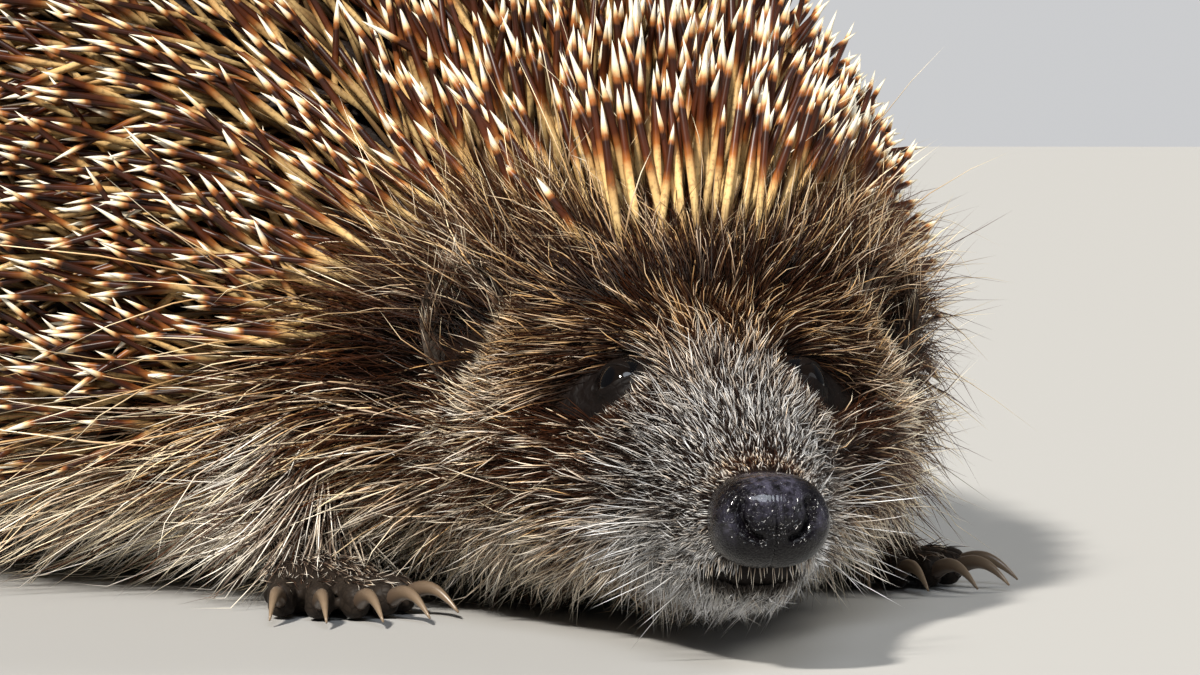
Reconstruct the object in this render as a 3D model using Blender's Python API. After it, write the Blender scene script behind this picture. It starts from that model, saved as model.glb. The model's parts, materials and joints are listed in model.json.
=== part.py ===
"""A European hedgehog crouching low, its back spines half raised and its head turned to its right.

Run with: blender --background --python part.py

Units are metres and +Z is up. The nose end faces -Y, the animal's right side is -X, and the soles lie
at z = 0 under the middle of the whole animal. Every solid reaches the tips of the coat that covers it.
The body is one loft along a bent spine line, parted by thin gaps into the parts that a person names.
"""

import math
from dataclasses import dataclass

import bmesh
import bpy
import numpy as np
from mathutils import Matrix, Vector

GAP = 0.0003  # between neighbouring solids
HALF_GAP = GAP / 2

# The spine line, seen from above: straight through the head, one bend at the neck, straight again.
HEAD_TURN = math.radians(32)
HEAD_LENGTH = 0.045
BEND_LENGTH = 0.060
BODY_END = 0.2210
RUMP_END = ((0.2201, 0.66), (0.2210, 0.30))  # how the last ring draws in

# Resolution of the body loft
SEGMENTS = 28
FACE_RING_STEP = 0.0044
TRUNK_RING_STEP = 0.0117
FACE_RINGS_END = 0.060
TRUNK_RINGS_END = 0.200

# Places along the spine line where one named part ends and the next begins
MUZZLE_END = 0.021
JAW_END = 0.034
HEAD_END = 0.0560
NECK_END = 0.0730

# The cutters that part the body
LAYER_REACH = 0.078  # sideways, past the widest flank and inside the bend's radius
LAYER_TOP = 0.130
LAYER_BOTTOM = -0.010
LAYER_END = 0.230
LAYER_STEP = 0.006

# Head
NOSE_CENTRE_HEIGHT = 0.0135
NOSE_SIZE = Vector((0.0104, 0.0096, 0.0084))  # across, along, high
NOSE_SET_BACK = 0.0030
NOSTRIL_SIZE = Vector((0.0026, 0.0062, 0.0030))
NOSTRIL_OUT = 0.0046
EYE_RADIUS = 0.0029
EYE_ALONG = 0.0291
EYE_OUT = 0.0087
EYE_HEIGHT = 0.0238
EAR_ALONG = 0.0462
EAR_OUT = 0.0192
EAR_HEIGHT = 0.0225
EAR_WIDTH = 0.0104
EAR_LENGTH = 0.0118
EAR_THICKNESS = 0.0012
EAR_CUP = 0.0028
EAR_TURN = math.radians(46)  # towards the side
EAR_TILT = math.radians(12)  # tip outwards
EAR_POCKET_SIZE = Vector((0.0132, 0.0104, 0.0136))
EAR_POCKET_CENTRE = Vector((0.0, -0.0010, 0.0064))

# Legs and feet
TOES = 5
CLAW_SEGMENTS = 5


@dataclass(frozen=True)
class Station:
    """One cross-section of the body: where it is along the spine line, and its measures there."""

    along: float
    half_width: float
    top: float
    belt: float  # the height at which it is widest
    bottom: float


STATIONS = (
    Station(along=0.0040, half_width=0.0050, top=0.0182, belt=0.0136, bottom=0.0092),  # nose rim
    Station(along=0.0070, half_width=0.0060, top=0.0192, belt=0.0136, bottom=0.0064),  # lip
    Station(along=0.0110, half_width=0.0070, top=0.0206, belt=0.0138, bottom=0.0050),  # chin
    Station(along=0.0200, half_width=0.0094, top=0.0242, belt=0.0150, bottom=0.0042),  # muzzle
    Station(along=0.0290, half_width=0.0136, top=0.0294, belt=0.0175, bottom=0.0038),  # eyes
    Station(along=0.0360, half_width=0.0186, top=0.0330, belt=0.0190, bottom=0.0035),  # cheeks
    Station(along=0.0410, half_width=0.0206, top=0.0362, belt=0.0200, bottom=0.0033),  # forehead
    Station(along=0.0450, half_width=0.0226, top=0.0530, belt=0.0215, bottom=0.0030),  # brow spines
    Station(along=0.0540, half_width=0.0290, top=0.0590, belt=0.0240, bottom=0.0028),  # crown
    Station(along=0.0660, half_width=0.0350, top=0.0660, belt=0.0260, bottom=0.0025),  # nape
    Station(along=0.0830, half_width=0.0440, top=0.0760, belt=0.0285, bottom=0.0022),  # shoulders
    Station(along=0.1060, half_width=0.0560, top=0.0930, belt=0.0310, bottom=0.0020),  # ribs
    Station(along=0.1350, half_width=0.0630, top=0.1050, belt=0.0320, bottom=0.0020),  # middle
    Station(along=0.1640, half_width=0.0630, top=0.1040, belt=0.0320, bottom=0.0020),  # loins
    Station(along=0.1890, half_width=0.0566, top=0.0900, belt=0.0310, bottom=0.0030),  # hips
    Station(along=0.2040, half_width=0.0445, top=0.0710, belt=0.0295, bottom=0.0070),  # rump
    Station(along=0.2130, half_width=0.0318, top=0.0550, belt=0.0285, bottom=0.0120),  # tail root
    Station(along=0.2180, half_width=0.0200, top=0.0435, belt=0.0280, bottom=0.0170),  # end
)
UPPER_ROUNDNESS = 2.0  # superellipse power above the belt
LOWER_ROUNDNESS = ((0.030, 2.3), (0.080, 3.2))  # below it, as (along, power): the flanks hang squarer

# Lower edge of the spines, as (along, height): up over the forehead, behind the ear, then low on the flank
MANTLE_EDGE = (
    (0.0380, 0.0370),
    (0.0500, 0.0370),
    (0.0550, 0.0320),
    (0.0600, 0.0250),
    (0.0680, 0.0190),
    (0.0800, 0.0160),
    (0.1100, 0.0150),
    (0.1850, 0.0150),
    (0.2300, 0.0190),
)
MOUTH_LINE = ((0.0000, 0.0086), (0.0340, 0.0110))


@dataclass(frozen=True)
class Limb:
    """A leg's joints as (along, out to the side, height), its thickness there, and its foot."""

    name: str
    joints: tuple
    radii: tuple
    heel_along: float
    foot_out: float
    foot_length: float
    foot_width: float
    foot_height: float
    toe_length: float
    toe_radius: float
    claw_length: float
    splay: float  # degrees that the toes point away from the spine line


FORELEG = Limb(
    name="fore",
    joints=((0.0790, 0.0290, 0.0105), (0.0785, 0.0295, 0.0085), (0.0770, 0.0300, 0.0062)),
    radii=(0.0046, 0.0043, 0.0036),
    heel_along=0.0800,
    foot_out=0.0300,
    foot_length=0.0135,
    foot_width=0.0125,
    foot_height=0.0062,
    toe_length=0.0070,
    toe_radius=0.0015,
    claw_length=0.0048,
    splay=6.0,
)
HINDLEG = Limb(
    name="hind",
    joints=((0.1850, 0.0370, 0.0085), (0.1855, 0.0375, 0.0075), (0.1860, 0.0380, 0.0062)),
    radii=(0.0050, 0.0046, 0.0038),
    heel_along=0.1930,
    foot_out=0.0370,
    foot_length=0.0240,
    foot_width=0.0115,
    foot_height=0.0060,
    toe_length=0.0085,
    toe_radius=0.0015,
    claw_length=0.0040,
    splay=12.0,
)
LEG_SEGMENTS = 10
FOOT_SEGMENTS = 10
TOE_SEGMENTS = 6

TAIL_ROOT_HEIGHT = 0.0200
TAIL_LENGTH = 0.0180
TAIL_RADIUS = 0.0034

# name: colour, roughness
FINISHES = {
    "spines": ((0.36, 0.24, 0.13), 0.55),
    "fur": ((0.22, 0.15, 0.09), 0.85),
    "pale_fur": ((0.52, 0.44, 0.33), 0.85),
    "nose_skin": ((0.020, 0.014, 0.018), 0.25),
    "eye": ((0.005, 0.005, 0.006), 0.05),
    "ear_skin": ((0.16, 0.12, 0.10), 0.60),
    "foot_skin": ((0.17, 0.12, 0.10), 0.60),
    "claw": ((0.40, 0.32, 0.22), 0.35),
}


def clear_scene():
    for obj in list(bpy.data.objects):
        bpy.data.objects.remove(obj)


def finish(name):
    """The material of this name, made once."""
    made = bpy.data.materials.get(name)
    if made is None:
        colour, roughness = FINISHES[name]
        made = bpy.data.materials.new(name)
        made.use_nodes = True
        shader = made.node_tree.nodes["Principled BSDF"]
        shader.inputs["Base Color"].default_value = (*colour, 1.0)
        shader.inputs["Roughness"].default_value = roughness
        shader.inputs["Metallic"].default_value = 0.0
        made.diffuse_color = (*colour, 1.0)
    return made


# ---------------------------------------------------------------- the spine line


def heading(along):
    """The angle, from +Y towards +X, in which the spine line runs to the rear."""
    share = min(max((along - HEAD_LENGTH) / BEND_LENGTH, 0.0), 1.0)
    return HEAD_TURN * (1.0 - share)


def spine_point(along):
    """The spine line's place on the ground, from the nose tip."""
    straight = min(along, HEAD_LENGTH)
    place = Vector((math.sin(HEAD_TURN), math.cos(HEAD_TURN))) * straight
    if along > HEAD_LENGTH:
        radius = BEND_LENGTH / HEAD_TURN
        now = heading(along)
        place.x += radius * (math.cos(now) - math.cos(HEAD_TURN))
        place.y += radius * (math.sin(HEAD_TURN) - math.sin(now))
        place.y += max(along - HEAD_LENGTH - BEND_LENGTH, 0.0)
    return place


def on_body(along, out, height):
    """The point this far along the spine line, out to the animal's left, and up."""
    turn = heading(along)
    middle = spine_point(along)
    return Vector((middle.x + math.cos(turn) * out, middle.y - math.sin(turn) * out, height))


def body_frame(along, out, height):
    """A matrix at that point: its Y runs to the rear along the spine line, its X to the animal's left."""
    turn = Matrix.Rotation(-heading(along), 4, "Z")
    return Matrix.Translation(on_body(along, out, height)) @ turn


# ---------------------------------------------------------------- meshes


def loft(rings):
    """A closed mesh through rings of points, each with as many points, with a fan of faces at both ends."""
    shape = bmesh.new()
    loops = [[shape.verts.new(point) for point in ring] for ring in rings]
    count = len(loops[0])
    for first, second in zip(loops, loops[1:]):
        for i in range(count):
            after = (i + 1) % count
            shape.faces.new((first[i], first[after], second[after], second[i]))
    for loop in (loops[0], loops[-1]):
        middle = shape.verts.new(sum((vertex.co for vertex in loop), Vector()) / count)
        for i in range(count):
            shape.faces.new((loop[i], loop[(i + 1) % count], middle))
    bmesh.ops.triangulate(shape, faces=shape.faces)
    bmesh.ops.recalc_face_normals(shape, faces=shape.faces)
    mesh = bpy.data.meshes.new("loft")
    shape.to_mesh(mesh)
    shape.free()
    return mesh


def ball(size, segments, rings):
    """An ellipsoid of this size, its poles on Z."""
    shape = bmesh.new()
    bmesh.ops.create_uvsphere(shape, u_segments=segments, v_segments=rings, radius=0.5)
    bmesh.ops.triangulate(shape, faces=shape.faces)
    bmesh.ops.scale(shape, vec=size, verts=shape.verts)
    mesh = bpy.data.meshes.new("ball")
    shape.to_mesh(mesh)
    shape.free()
    return mesh


def add(name, mesh, finish_name, matrix=None):
    """A named solid that hangs from the hedgehog's root."""
    obj = bpy.data.objects.new(name, mesh)
    bpy.context.scene.collection.objects.link(obj)
    obj.parent = ROOT
    if matrix is not None:
        obj.matrix_local = matrix
    obj.data.materials.clear()
    obj.data.materials.append(finish(finish_name))
    mesh.shade_smooth()
    return obj


def add_cutter(name, mesh, matrix=None):
    """A helper that only cuts, so it is never rendered."""
    obj = bpy.data.objects.new(name, mesh)
    bpy.context.scene.collection.objects.link(obj)
    obj.parent = ROOT
    if matrix is not None:
        obj.matrix_local = matrix
    obj.hide_render = True
    obj.display_type = "WIRE"
    return obj


def combine(obj, operation, other):
    """Adds a Boolean of obj with the other object."""
    modifier = obj.modifiers.new(f"{operation.lower()} {other.name}", "BOOLEAN")
    modifier.operation = operation
    modifier.solver = "EXACT"
    modifier.object = other
    # plain triangles keep the next Boolean exact
    obj.modifiers.new(f"triangles after {other.name}", "TRIANGULATE")


def join_all(obj, others):
    """Adds one Boolean that unites obj with all the others at once."""
    group = bpy.data.collections.new(f"{obj.name} pieces")
    for other in others:
        group.objects.link(other)
    modifier = obj.modifiers.new("union of pieces", "BOOLEAN")
    modifier.operation = "UNION"
    modifier.solver = "EXACT"
    modifier.operand_type = "COLLECTION"
    modifier.collection = group
    obj.modifiers.new("triangles after union", "TRIANGULATE")


# ---------------------------------------------------------------- the body


def measure(field, along):
    """A station's measure at any place: a smooth curve through the stations."""
    places = np.array([s.along for s in STATIONS])
    values = np.array([getattr(s, field) for s in STATIONS])
    slopes = np.gradient(values, places)
    i = int(np.clip(np.searchsorted(places, along) - 1, 0, len(places) - 2))
    span = places[i + 1] - places[i]
    t = (along - places[i]) / span
    start = (2 * t**3 - 3 * t**2 + 1) * values[i] + (t**3 - 2 * t**2 + t) * span * slopes[i]
    end = (3 * t**2 - 2 * t**3) * values[i + 1] + (t**3 - t**2) * span * slopes[i + 1]
    return start + end


def follow(curve, along):
    """The value at this place of a curve given as (along, value) points."""
    return float(np.interp(along, [p[0] for p in curve], [p[1] for p in curve]))


def body_ring(along, grown=0.0):
    """The body's cross-section at this place, grown outwards by a clearance."""
    half_width = measure("half_width", along) + grown
    belt = measure("belt", along)
    up = measure("top", along) + grown - belt
    down = belt - measure("bottom", along) + grown
    lower_roundness = follow(LOWER_ROUNDNESS, along)
    ring = []
    for i in range(SEGMENTS):
        angle = 2 * math.pi * (i + 0.5) / SEGMENTS
        across, high = math.cos(angle), math.sin(angle)
        power = 2.0 / (UPPER_ROUNDNESS if high > 0 else lower_roundness)
        out = math.copysign(abs(across) ** power, across) * half_width
        height = belt + math.copysign(abs(high) ** power, high) * (up if high > 0 else down)
        ring.append(on_body(along, out, height))
    return ring


def ring_places():
    """Where the body's rings stand: close together on the face, wider apart on the trunk."""
    start = STATIONS[0].along
    face = np.arange(start, FACE_RINGS_END, FACE_RING_STEP)
    rump = [station.along for station in STATIONS if station.along > TRUNK_RINGS_END]
    trunk = np.arange(FACE_RINGS_END, TRUNK_RINGS_END, TRUNK_RING_STEP)
    return [float(along) for along in (*face, *trunk, *rump)]


def end_ring(along, ring, share):
    """A ring drawn in towards its middle, to round off an end of the body."""
    middle = sum(ring, Vector()) / len(ring)
    step = on_body(along, 0.0, middle.z) - middle
    step.z = 0.0
    return [middle + (point - middle) * share + step for point in ring]


def body_mesh(grown=0.0):
    """The whole body from nose rim to rump, its rear end rounded."""
    places = ring_places()
    rings = [body_ring(along, grown) for along in places]
    last = rings[-1]
    rings += [end_ring(along + grown, last, share) for along, share in RUMP_END]
    return loft(rings)


def layer(name, places, floor, ceiling):
    """A cutter between two heights that follow the spine line, wider than the body.

    Args:
        places: where its rings stand along the spine line.
        floor, ceiling: functions of the place along that give the two heights.
    """
    shape = bmesh.new()
    before = None
    for along in places:
        corners = (
            (-LAYER_REACH, floor(along)),
            (LAYER_REACH, floor(along)),
            (LAYER_REACH, ceiling(along)),
            (-LAYER_REACH, ceiling(along)),
        )
        ring = [shape.verts.new(on_body(along, out, height)) for out, height in corners]
        if before is None:
            shape.faces.new(ring)
        else:
            # the twisted faces of every floor and ceiling are split along the same diagonal
            shape.faces.new((before[0], before[1], ring[1]))
            shape.faces.new((before[0], ring[1], ring[0]))
            shape.faces.new((before[2], before[3], ring[2]))
            shape.faces.new((before[3], ring[3], ring[2]))
            shape.faces.new((before[1], before[2], ring[2], ring[1]))
            shape.faces.new((before[3], before[0], ring[0], ring[3]))
        before = ring
    shape.faces.new(before)
    bmesh.ops.recalc_face_normals(shape, faces=shape.faces)
    mesh = bpy.data.meshes.new(name)
    shape.to_mesh(mesh)
    shape.free()
    return add_cutter(name, mesh)


def slab(name, start, end):
    """A cutter that holds all of the body from start to end along the spine line."""
    return layer(name, (start, end), at_bottom, at_top)


def below_mantle(along):
    return follow(MANTLE_EDGE, along) - HALF_GAP


def above_mantle(along):
    return follow(MANTLE_EDGE, along) + HALF_GAP


def above_mouth(along):
    return follow(MOUTH_LINE, along) + HALF_GAP


def below_mouth(along):
    return follow(MOUTH_LINE, along) - HALF_GAP


def at_bottom(along):
    return LAYER_BOTTOM


def at_top(along):
    return LAYER_TOP


def build_body():
    """The body's parts: copies of one loft, each kept only inside its own cutters."""
    skin = body_mesh()
    mantle_places = sorted({p[0] for p in MANTLE_EDGE} | set(np.arange(0.042, 0.110, LAYER_STEP)))
    mouth_places = (-LAYER_STEP, JAW_END + LAYER_STEP)
    above = layer("above_mantle", mantle_places, above_mantle, at_top)
    below = layer("below_mantle", (0.0, *mantle_places), at_bottom, below_mantle)
    upper = layer("above_mouth", mouth_places, above_mouth, at_top)
    lower = layer("below_mouth", mouth_places, at_bottom, below_mouth)
    parts = {
        "muzzle": ("fur", upper, slab("muzzle_slab", 0.0, MUZZLE_END - HALF_GAP)),
        "lower_jaw": ("pale_fur", lower, slab("jaw_slab", 0.0, JAW_END - HALF_GAP)),
        "head": ("fur", below, slab("head_slab", MUZZLE_END + HALF_GAP, HEAD_END - HALF_GAP)),
        "neck": ("fur", below, slab("neck_slab", HEAD_END + HALF_GAP, NECK_END - HALF_GAP)),
        "belly": ("pale_fur", below, slab("belly_slab", NECK_END + HALF_GAP, LAYER_END)),
        "back": ("spines", above),
    }
    made = {}
    for name, (finish_name, *cutters) in parts.items():
        made[name] = add(name, skin.copy(), finish_name)
        for cutter in cutters:
            combine(made[name], "INTERSECT", cutter)
    jaw_room = layer("jaw_room", (-LAYER_STEP, JAW_END + HALF_GAP), at_bottom, above_mouth)
    combine(made["head"], "DIFFERENCE", jaw_room)
    return made


# ---------------------------------------------------------------- the face


def build_nose(body):
    """The bare nose pad, with a nostril hollow on each side, trimmed to fit the muzzle's end."""
    pad = ball(NOSE_SIZE, 18, 12)
    frame = body_frame(NOSE_SET_BACK, 0.0, NOSE_CENTRE_HEIGHT)
    nose = add("nose", pad, "nose_skin", frame)
    combine(nose, "DIFFERENCE", body)
    for side, name in ((-1, "right"), (1, "left")):
        place = Matrix.Translation((side * NOSTRIL_OUT, -NOSE_SIZE.y * 0.34, -0.0004))
        turn = Matrix.Rotation(side * math.radians(28), 4, "Z")
        hollow = add_cutter(f"nostril_{name}", ball(NOSTRIL_SIZE, 12, 8), frame @ place @ turn)
        combine(nose, "DIFFERENCE", hollow)


def build_eyes(head):
    """Round eyes, each in a socket cut from the head."""
    for side, name in ((-1, "right"), (1, "left")):
        frame = body_frame(EYE_ALONG, side * EYE_OUT, EYE_HEIGHT)
        turn = Matrix.Rotation(math.radians(90), 4, "X")
        size = Vector((1, 1, 1)) * 2 * EYE_RADIUS
        add(f"eye_{name}", ball(size, 14, 9), "eye", frame @ turn)
        socket_size = size + Vector((1, 1, 1)) * 2 * GAP
        socket = add_cutter(f"eye_socket_{name}", ball(socket_size, 14, 9), frame @ turn)
        combine(head, "DIFFERENCE", socket)


def ear_point(across, up):
    """A point of the ear's dish: across from -1 to 1, up from 0 at the root to 1 at the tip."""
    outline = math.sin(math.pi * (0.16 + 0.78 * up)) ** 0.5
    depth = EAR_CUP * (1.0 - across**2) * math.sin(math.pi * (0.1 + 0.8 * up))
    return Vector((across * outline * EAR_WIDTH / 2, depth, up * EAR_LENGTH))


def ear_mesh():
    """The ear's dish as one sheet, hollow towards -Y."""
    columns, rows = 6, 5
    shape = bmesh.new()
    grid = []
    for j in range(rows + 1):
        points = [ear_point(2 * i / columns - 1, j / rows) for i in range(columns + 1)]
        grid.append([shape.verts.new(point) for point in points])
    for lower, upper in zip(grid, grid[1:]):
        for i in range(columns):
            shape.faces.new((lower[i], lower[i + 1], upper[i + 1], upper[i]))
    bmesh.ops.triangulate(shape, faces=shape.faces)
    bmesh.ops.recalc_face_normals(shape, faces=shape.faces)
    mesh = bpy.data.meshes.new("ear")
    shape.to_mesh(mesh)
    shape.free()
    return mesh


def build_ears(head):
    """Round cupped ears, each in a pocket of the head's coat that it meets at its root and back."""
    for side, name in ((-1, "right"), (1, "left")):
        frame = body_frame(EAR_ALONG, side * EAR_OUT, EAR_HEIGHT)
        turn = Matrix.Rotation(side * EAR_TURN, 4, "Z") @ Matrix.Rotation(side * EAR_TILT, 4, "Y")
        middle = frame @ turn @ Matrix.Translation(EAR_POCKET_CENTRE)
        clearance = Vector((2 * GAP,) * 3)
        pocket = add_cutter(f"ear_pocket_{name}", ball(EAR_POCKET_SIZE, 14, 8), middle)
        room = add_cutter(f"ear_room_{name}", ball(EAR_POCKET_SIZE - clearance, 14, 8), middle)
        combine(head, "DIFFERENCE", pocket)
        ear = add(f"ear_{name}", ear_mesh(), "ear_skin", frame @ turn)
        thick = ear.modifiers.new("thickness", "SOLIDIFY")
        thick.thickness = EAR_THICKNESS
        thick.offset = 0.0
        combine(ear, "INTERSECT", room)


# ---------------------------------------------------------------- legs, feet and tail


def tube(points, radii, segments, floor=None, grown=0.0):
    """A tapered tube through points, with rounded ends; nothing of it lies below the floor."""
    path = [Vector(p) for p in points]
    steps = []
    for i, point in enumerate(path):
        ahead = path[min(i + 1, len(path) - 1)] - path[max(i - 1, 0)]
        steps.append((point, ahead.normalized(), radii[i] + grown))
    first, last = steps[0], steps[-1]
    caps_before = [
        (first[0] - first[1] * first[2] * math.sin(a), first[1], first[2] * math.cos(a))
        for a in (math.radians(72), math.radians(38))
    ]
    caps_after = [
        (last[0] + last[1] * last[2] * math.sin(a), last[1], last[2] * math.cos(a))
        for a in (math.radians(38), math.radians(72))
    ]
    rings = []
    for place, ahead, radius in (*caps_before, *steps, *caps_after):
        side = ahead.cross(Vector((0, 0, 1)))
        if side.length < 1e-3:
            side = Vector((1, 0, 0))
        side.normalize()
        up = side.cross(ahead)
        ring = []
        for i in range(segments):
            angle = 2 * math.pi * (i + 0.5) / segments
            point = place + (side * math.cos(angle) + up * math.sin(angle)) * radius
            if floor is not None:
                point.z = max(point.z, floor)
            ring.append(point)
        rings.append(ring)
    return loft(rings)


def smooth_path(points, radii, count=4):
    """More points and radii on a curve through the given three, as one quadratic bow."""
    a, b, c = (Vector(p) for p in points)
    control = 2 * b - (a + c) / 2
    path, thick = [], []
    for t in np.linspace(0, 1, count):
        path.append(a * (1 - t) ** 2 + control * 2 * t * (1 - t) + c * t**2)
        thick.append(float(np.interp(t, (0, 0.5, 1), radii)))
    return path, thick


def foot_mesh(limb, grown=0.0):
    """The foot's palm, heel at the origin and toes towards -Y, with a flat sole at z = 0."""
    rings = []
    for t in np.linspace(0, 1, 6):
        swell = math.sin(math.pi * (0.10 + 0.84 * t)) ** 0.55
        half_width = limb.foot_width / 2 * swell * (0.72 + 0.28 * t) + grown
        height = limb.foot_height * (1.0 - 0.38 * t) * swell + grown
        y = grown - t * (limb.foot_length + 2 * grown)
        ring = []
        for i in range(FOOT_SEGMENTS):
            angle = 2 * math.pi * (i + 0.5) / FOOT_SEGMENTS
            z = height / 2 + math.sin(angle) * height * 0.62
            ring.append(Vector((math.cos(angle) * half_width, y, max(z, -grown))))
        rings.append(ring)
    return loft(rings)


def toe_places(limb):
    """Each toe's root, direction and share of the full toe length, across the foot."""
    for i in range(TOES):
        across = 2 * i / (TOES - 1) - 1
        spread = math.radians(26) * across
        ahead = Vector((math.sin(spread), -math.cos(spread), 0.0))
        root = Vector((across * limb.foot_width * 0.36, -limb.foot_length * (0.93 - 0.16 * across**2), 0.0))
        yield i, root, ahead, 1.0 - 0.30 * across**2


def build_foot(limb, side, side_name, body_parts):
    """A foot with five toes, and its claws, set in the fur that it comes out of."""
    frame = body_frame(limb.heel_along, side * limb.foot_out, 0.0)
    frame = frame @ Matrix.Rotation(side * math.radians(limb.splay), 4, "Z")
    foot = add(f"{limb.name}foot_{side_name}", foot_mesh(limb), "foot_skin", frame)
    toes = []
    for i, root, ahead, share in toe_places(limb):
        length = limb.toe_length * share
        radius = limb.toe_radius
        rise = Vector((0, 0, radius + 0.0002))
        path = [root - ahead * 0.003 + rise, root + ahead * length * 0.4 + rise * 1.25]
        path.append(root + ahead * length + rise)
        toe = tube(path, [radius * 1.05, radius * 1.1, radius * 0.9], TOE_SEGMENTS, floor=0.0002)
        toes.append(add_cutter(f"{limb.name}toe_{side_name}_{i + 1}", toe, frame))
        build_claw(limb, side_name, i, frame, root + ahead * (length + radius * 0.86 + GAP) + rise, ahead)
    join_all(foot, toes)
    hole = add_cutter(f"{limb.name}foot_hole_{side_name}", foot_mesh(limb, grown=GAP), frame)
    cut_from_underside(limb, body_parts, hole)


def cut_from_underside(limb, body_parts, hole):
    """Makes room for a leg or foot in the belly, and a foreleg or forefoot in the neck as well."""
    combine(body_parts["belly"], "DIFFERENCE", hole)
    if limb is FORELEG:
        combine(body_parts["neck"], "DIFFERENCE", hole)


def build_claw(limb, side_name, index, frame, root, ahead):
    """One curved claw, thickest at its root."""
    rings = []
    radius = limb.toe_radius * 0.52
    for t in np.linspace(0, 1, 4):
        droop = Vector((0, 0, -1)) * (root.z - 0.0006) * t**2
        middle = root + ahead * limb.claw_length * t + droop
        across = ahead.cross(Vector((0, 0, 1)))
        ring = []
        for k in range(CLAW_SEGMENTS):
            angle = 2 * math.pi * (k + 0.5) / CLAW_SEGMENTS
            offset = across * math.cos(angle) * 0.8 + Vector((0, 0, 1)) * math.sin(angle)
            ring.append(middle + offset * radius * (1.0 - 0.68 * t))
        rings.append(ring)
    add(f"claw_{limb.name}_{side_name}_{index + 1}", loft(rings), "claw", frame)


def build_leg(limb, side, side_name, body_parts):
    """A short bent leg, most of it inside the body's fur, ending above its foot."""
    points = [on_body(along, side * out, height) for along, out, height in limb.joints]
    path, radii = smooth_path(points, limb.radii)
    leg = add(f"{limb.name}leg_{side_name}", tube(path, radii, LEG_SEGMENTS), "fur")
    hole = add_cutter(
        f"{limb.name}leg_hole_{side_name}", tube(path, radii, LEG_SEGMENTS, grown=GAP)
    )
    cut_from_underside(limb, body_parts, hole)
    return leg


def build_legs(body_parts):
    """All four legs and feet; each leg ends where its foot begins."""
    for limb in (FORELEG, HINDLEG):
        for side, side_name in ((-1, "right"), (1, "left")):
            build_foot(limb, side, side_name, body_parts)
            leg = build_leg(limb, side, side_name, body_parts)
            ankle = bpy.data.objects[f"{limb.name}foot_hole_{side_name}"]
            combine(leg, "DIFFERENCE", ankle)


def build_tail(body):
    """The short tail under the rump, trimmed where it meets the body."""
    root = on_body(BODY_END - 0.006, 0.0, TAIL_ROOT_HEIGHT)
    back = Vector((0.10, 0.94, -0.32)).normalized()
    path = [root + back * TAIL_LENGTH * t for t in (0.0, 0.35, 0.7, 1.0)]
    mesh = tube(path, [TAIL_RADIUS, TAIL_RADIUS * 0.8, TAIL_RADIUS * 0.6, TAIL_RADIUS * 0.3], 10)
    combine(add("tail", mesh, "fur"), "DIFFERENCE", body)


# ---------------------------------------------------------------- the whole


def set_origin():
    """Moves the whole animal so that the origin is on the ground under its middle."""
    bpy.context.view_layer.update()
    graph = bpy.context.evaluated_depsgraph_get()
    low, high = Vector((1e9,) * 3), Vector((-1e9,) * 3)
    for obj in bpy.context.scene.objects:
        if obj.type != "MESH" or obj.hide_render:
            continue
        shape = obj.evaluated_get(graph)
        mesh = shape.to_mesh()
        for vertex in mesh.vertices:
            place = shape.matrix_world @ vertex.co
            low = Vector(map(min, low, place))
            high = Vector(map(max, high, place))
        shape.to_mesh_clear()
    ROOT.location = (-(low.x + high.x) / 2, -(low.y + high.y) / 2, -low.z)
    bpy.context.view_layer.update()


clear_scene()
ROOT = bpy.data.objects.new("hedgehog", None)
bpy.context.scene.collection.objects.link(ROOT)
body_with_gap = add_cutter("body_with_gap", body_mesh(grown=GAP))
named_parts = build_body()
build_nose(body_with_gap)
build_eyes(named_parts["head"])
build_ears(named_parts["head"])
build_legs(named_parts)
build_tail(body_with_gap)
set_origin()
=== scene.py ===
"""The looks of a life-size European hedgehog: one skin, its spines and fur, eyes, nose and claws.

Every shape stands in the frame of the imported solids: metres, +Z up, the nose end towards -Y. The skin is
drawn on the same bent spine line as the solids and lies inside them by the depth of the coat.
"""

import json
import logging
import math
from dataclasses import dataclass, field
from enum import Enum
from typing import Callable, Iterable, Sequence

import bmesh
import bpy
import numpy as np
from mathutils import Matrix, Vector
from mathutils.bvhtree import BVHTree
from mathutils.kdtree import KDTree

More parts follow.
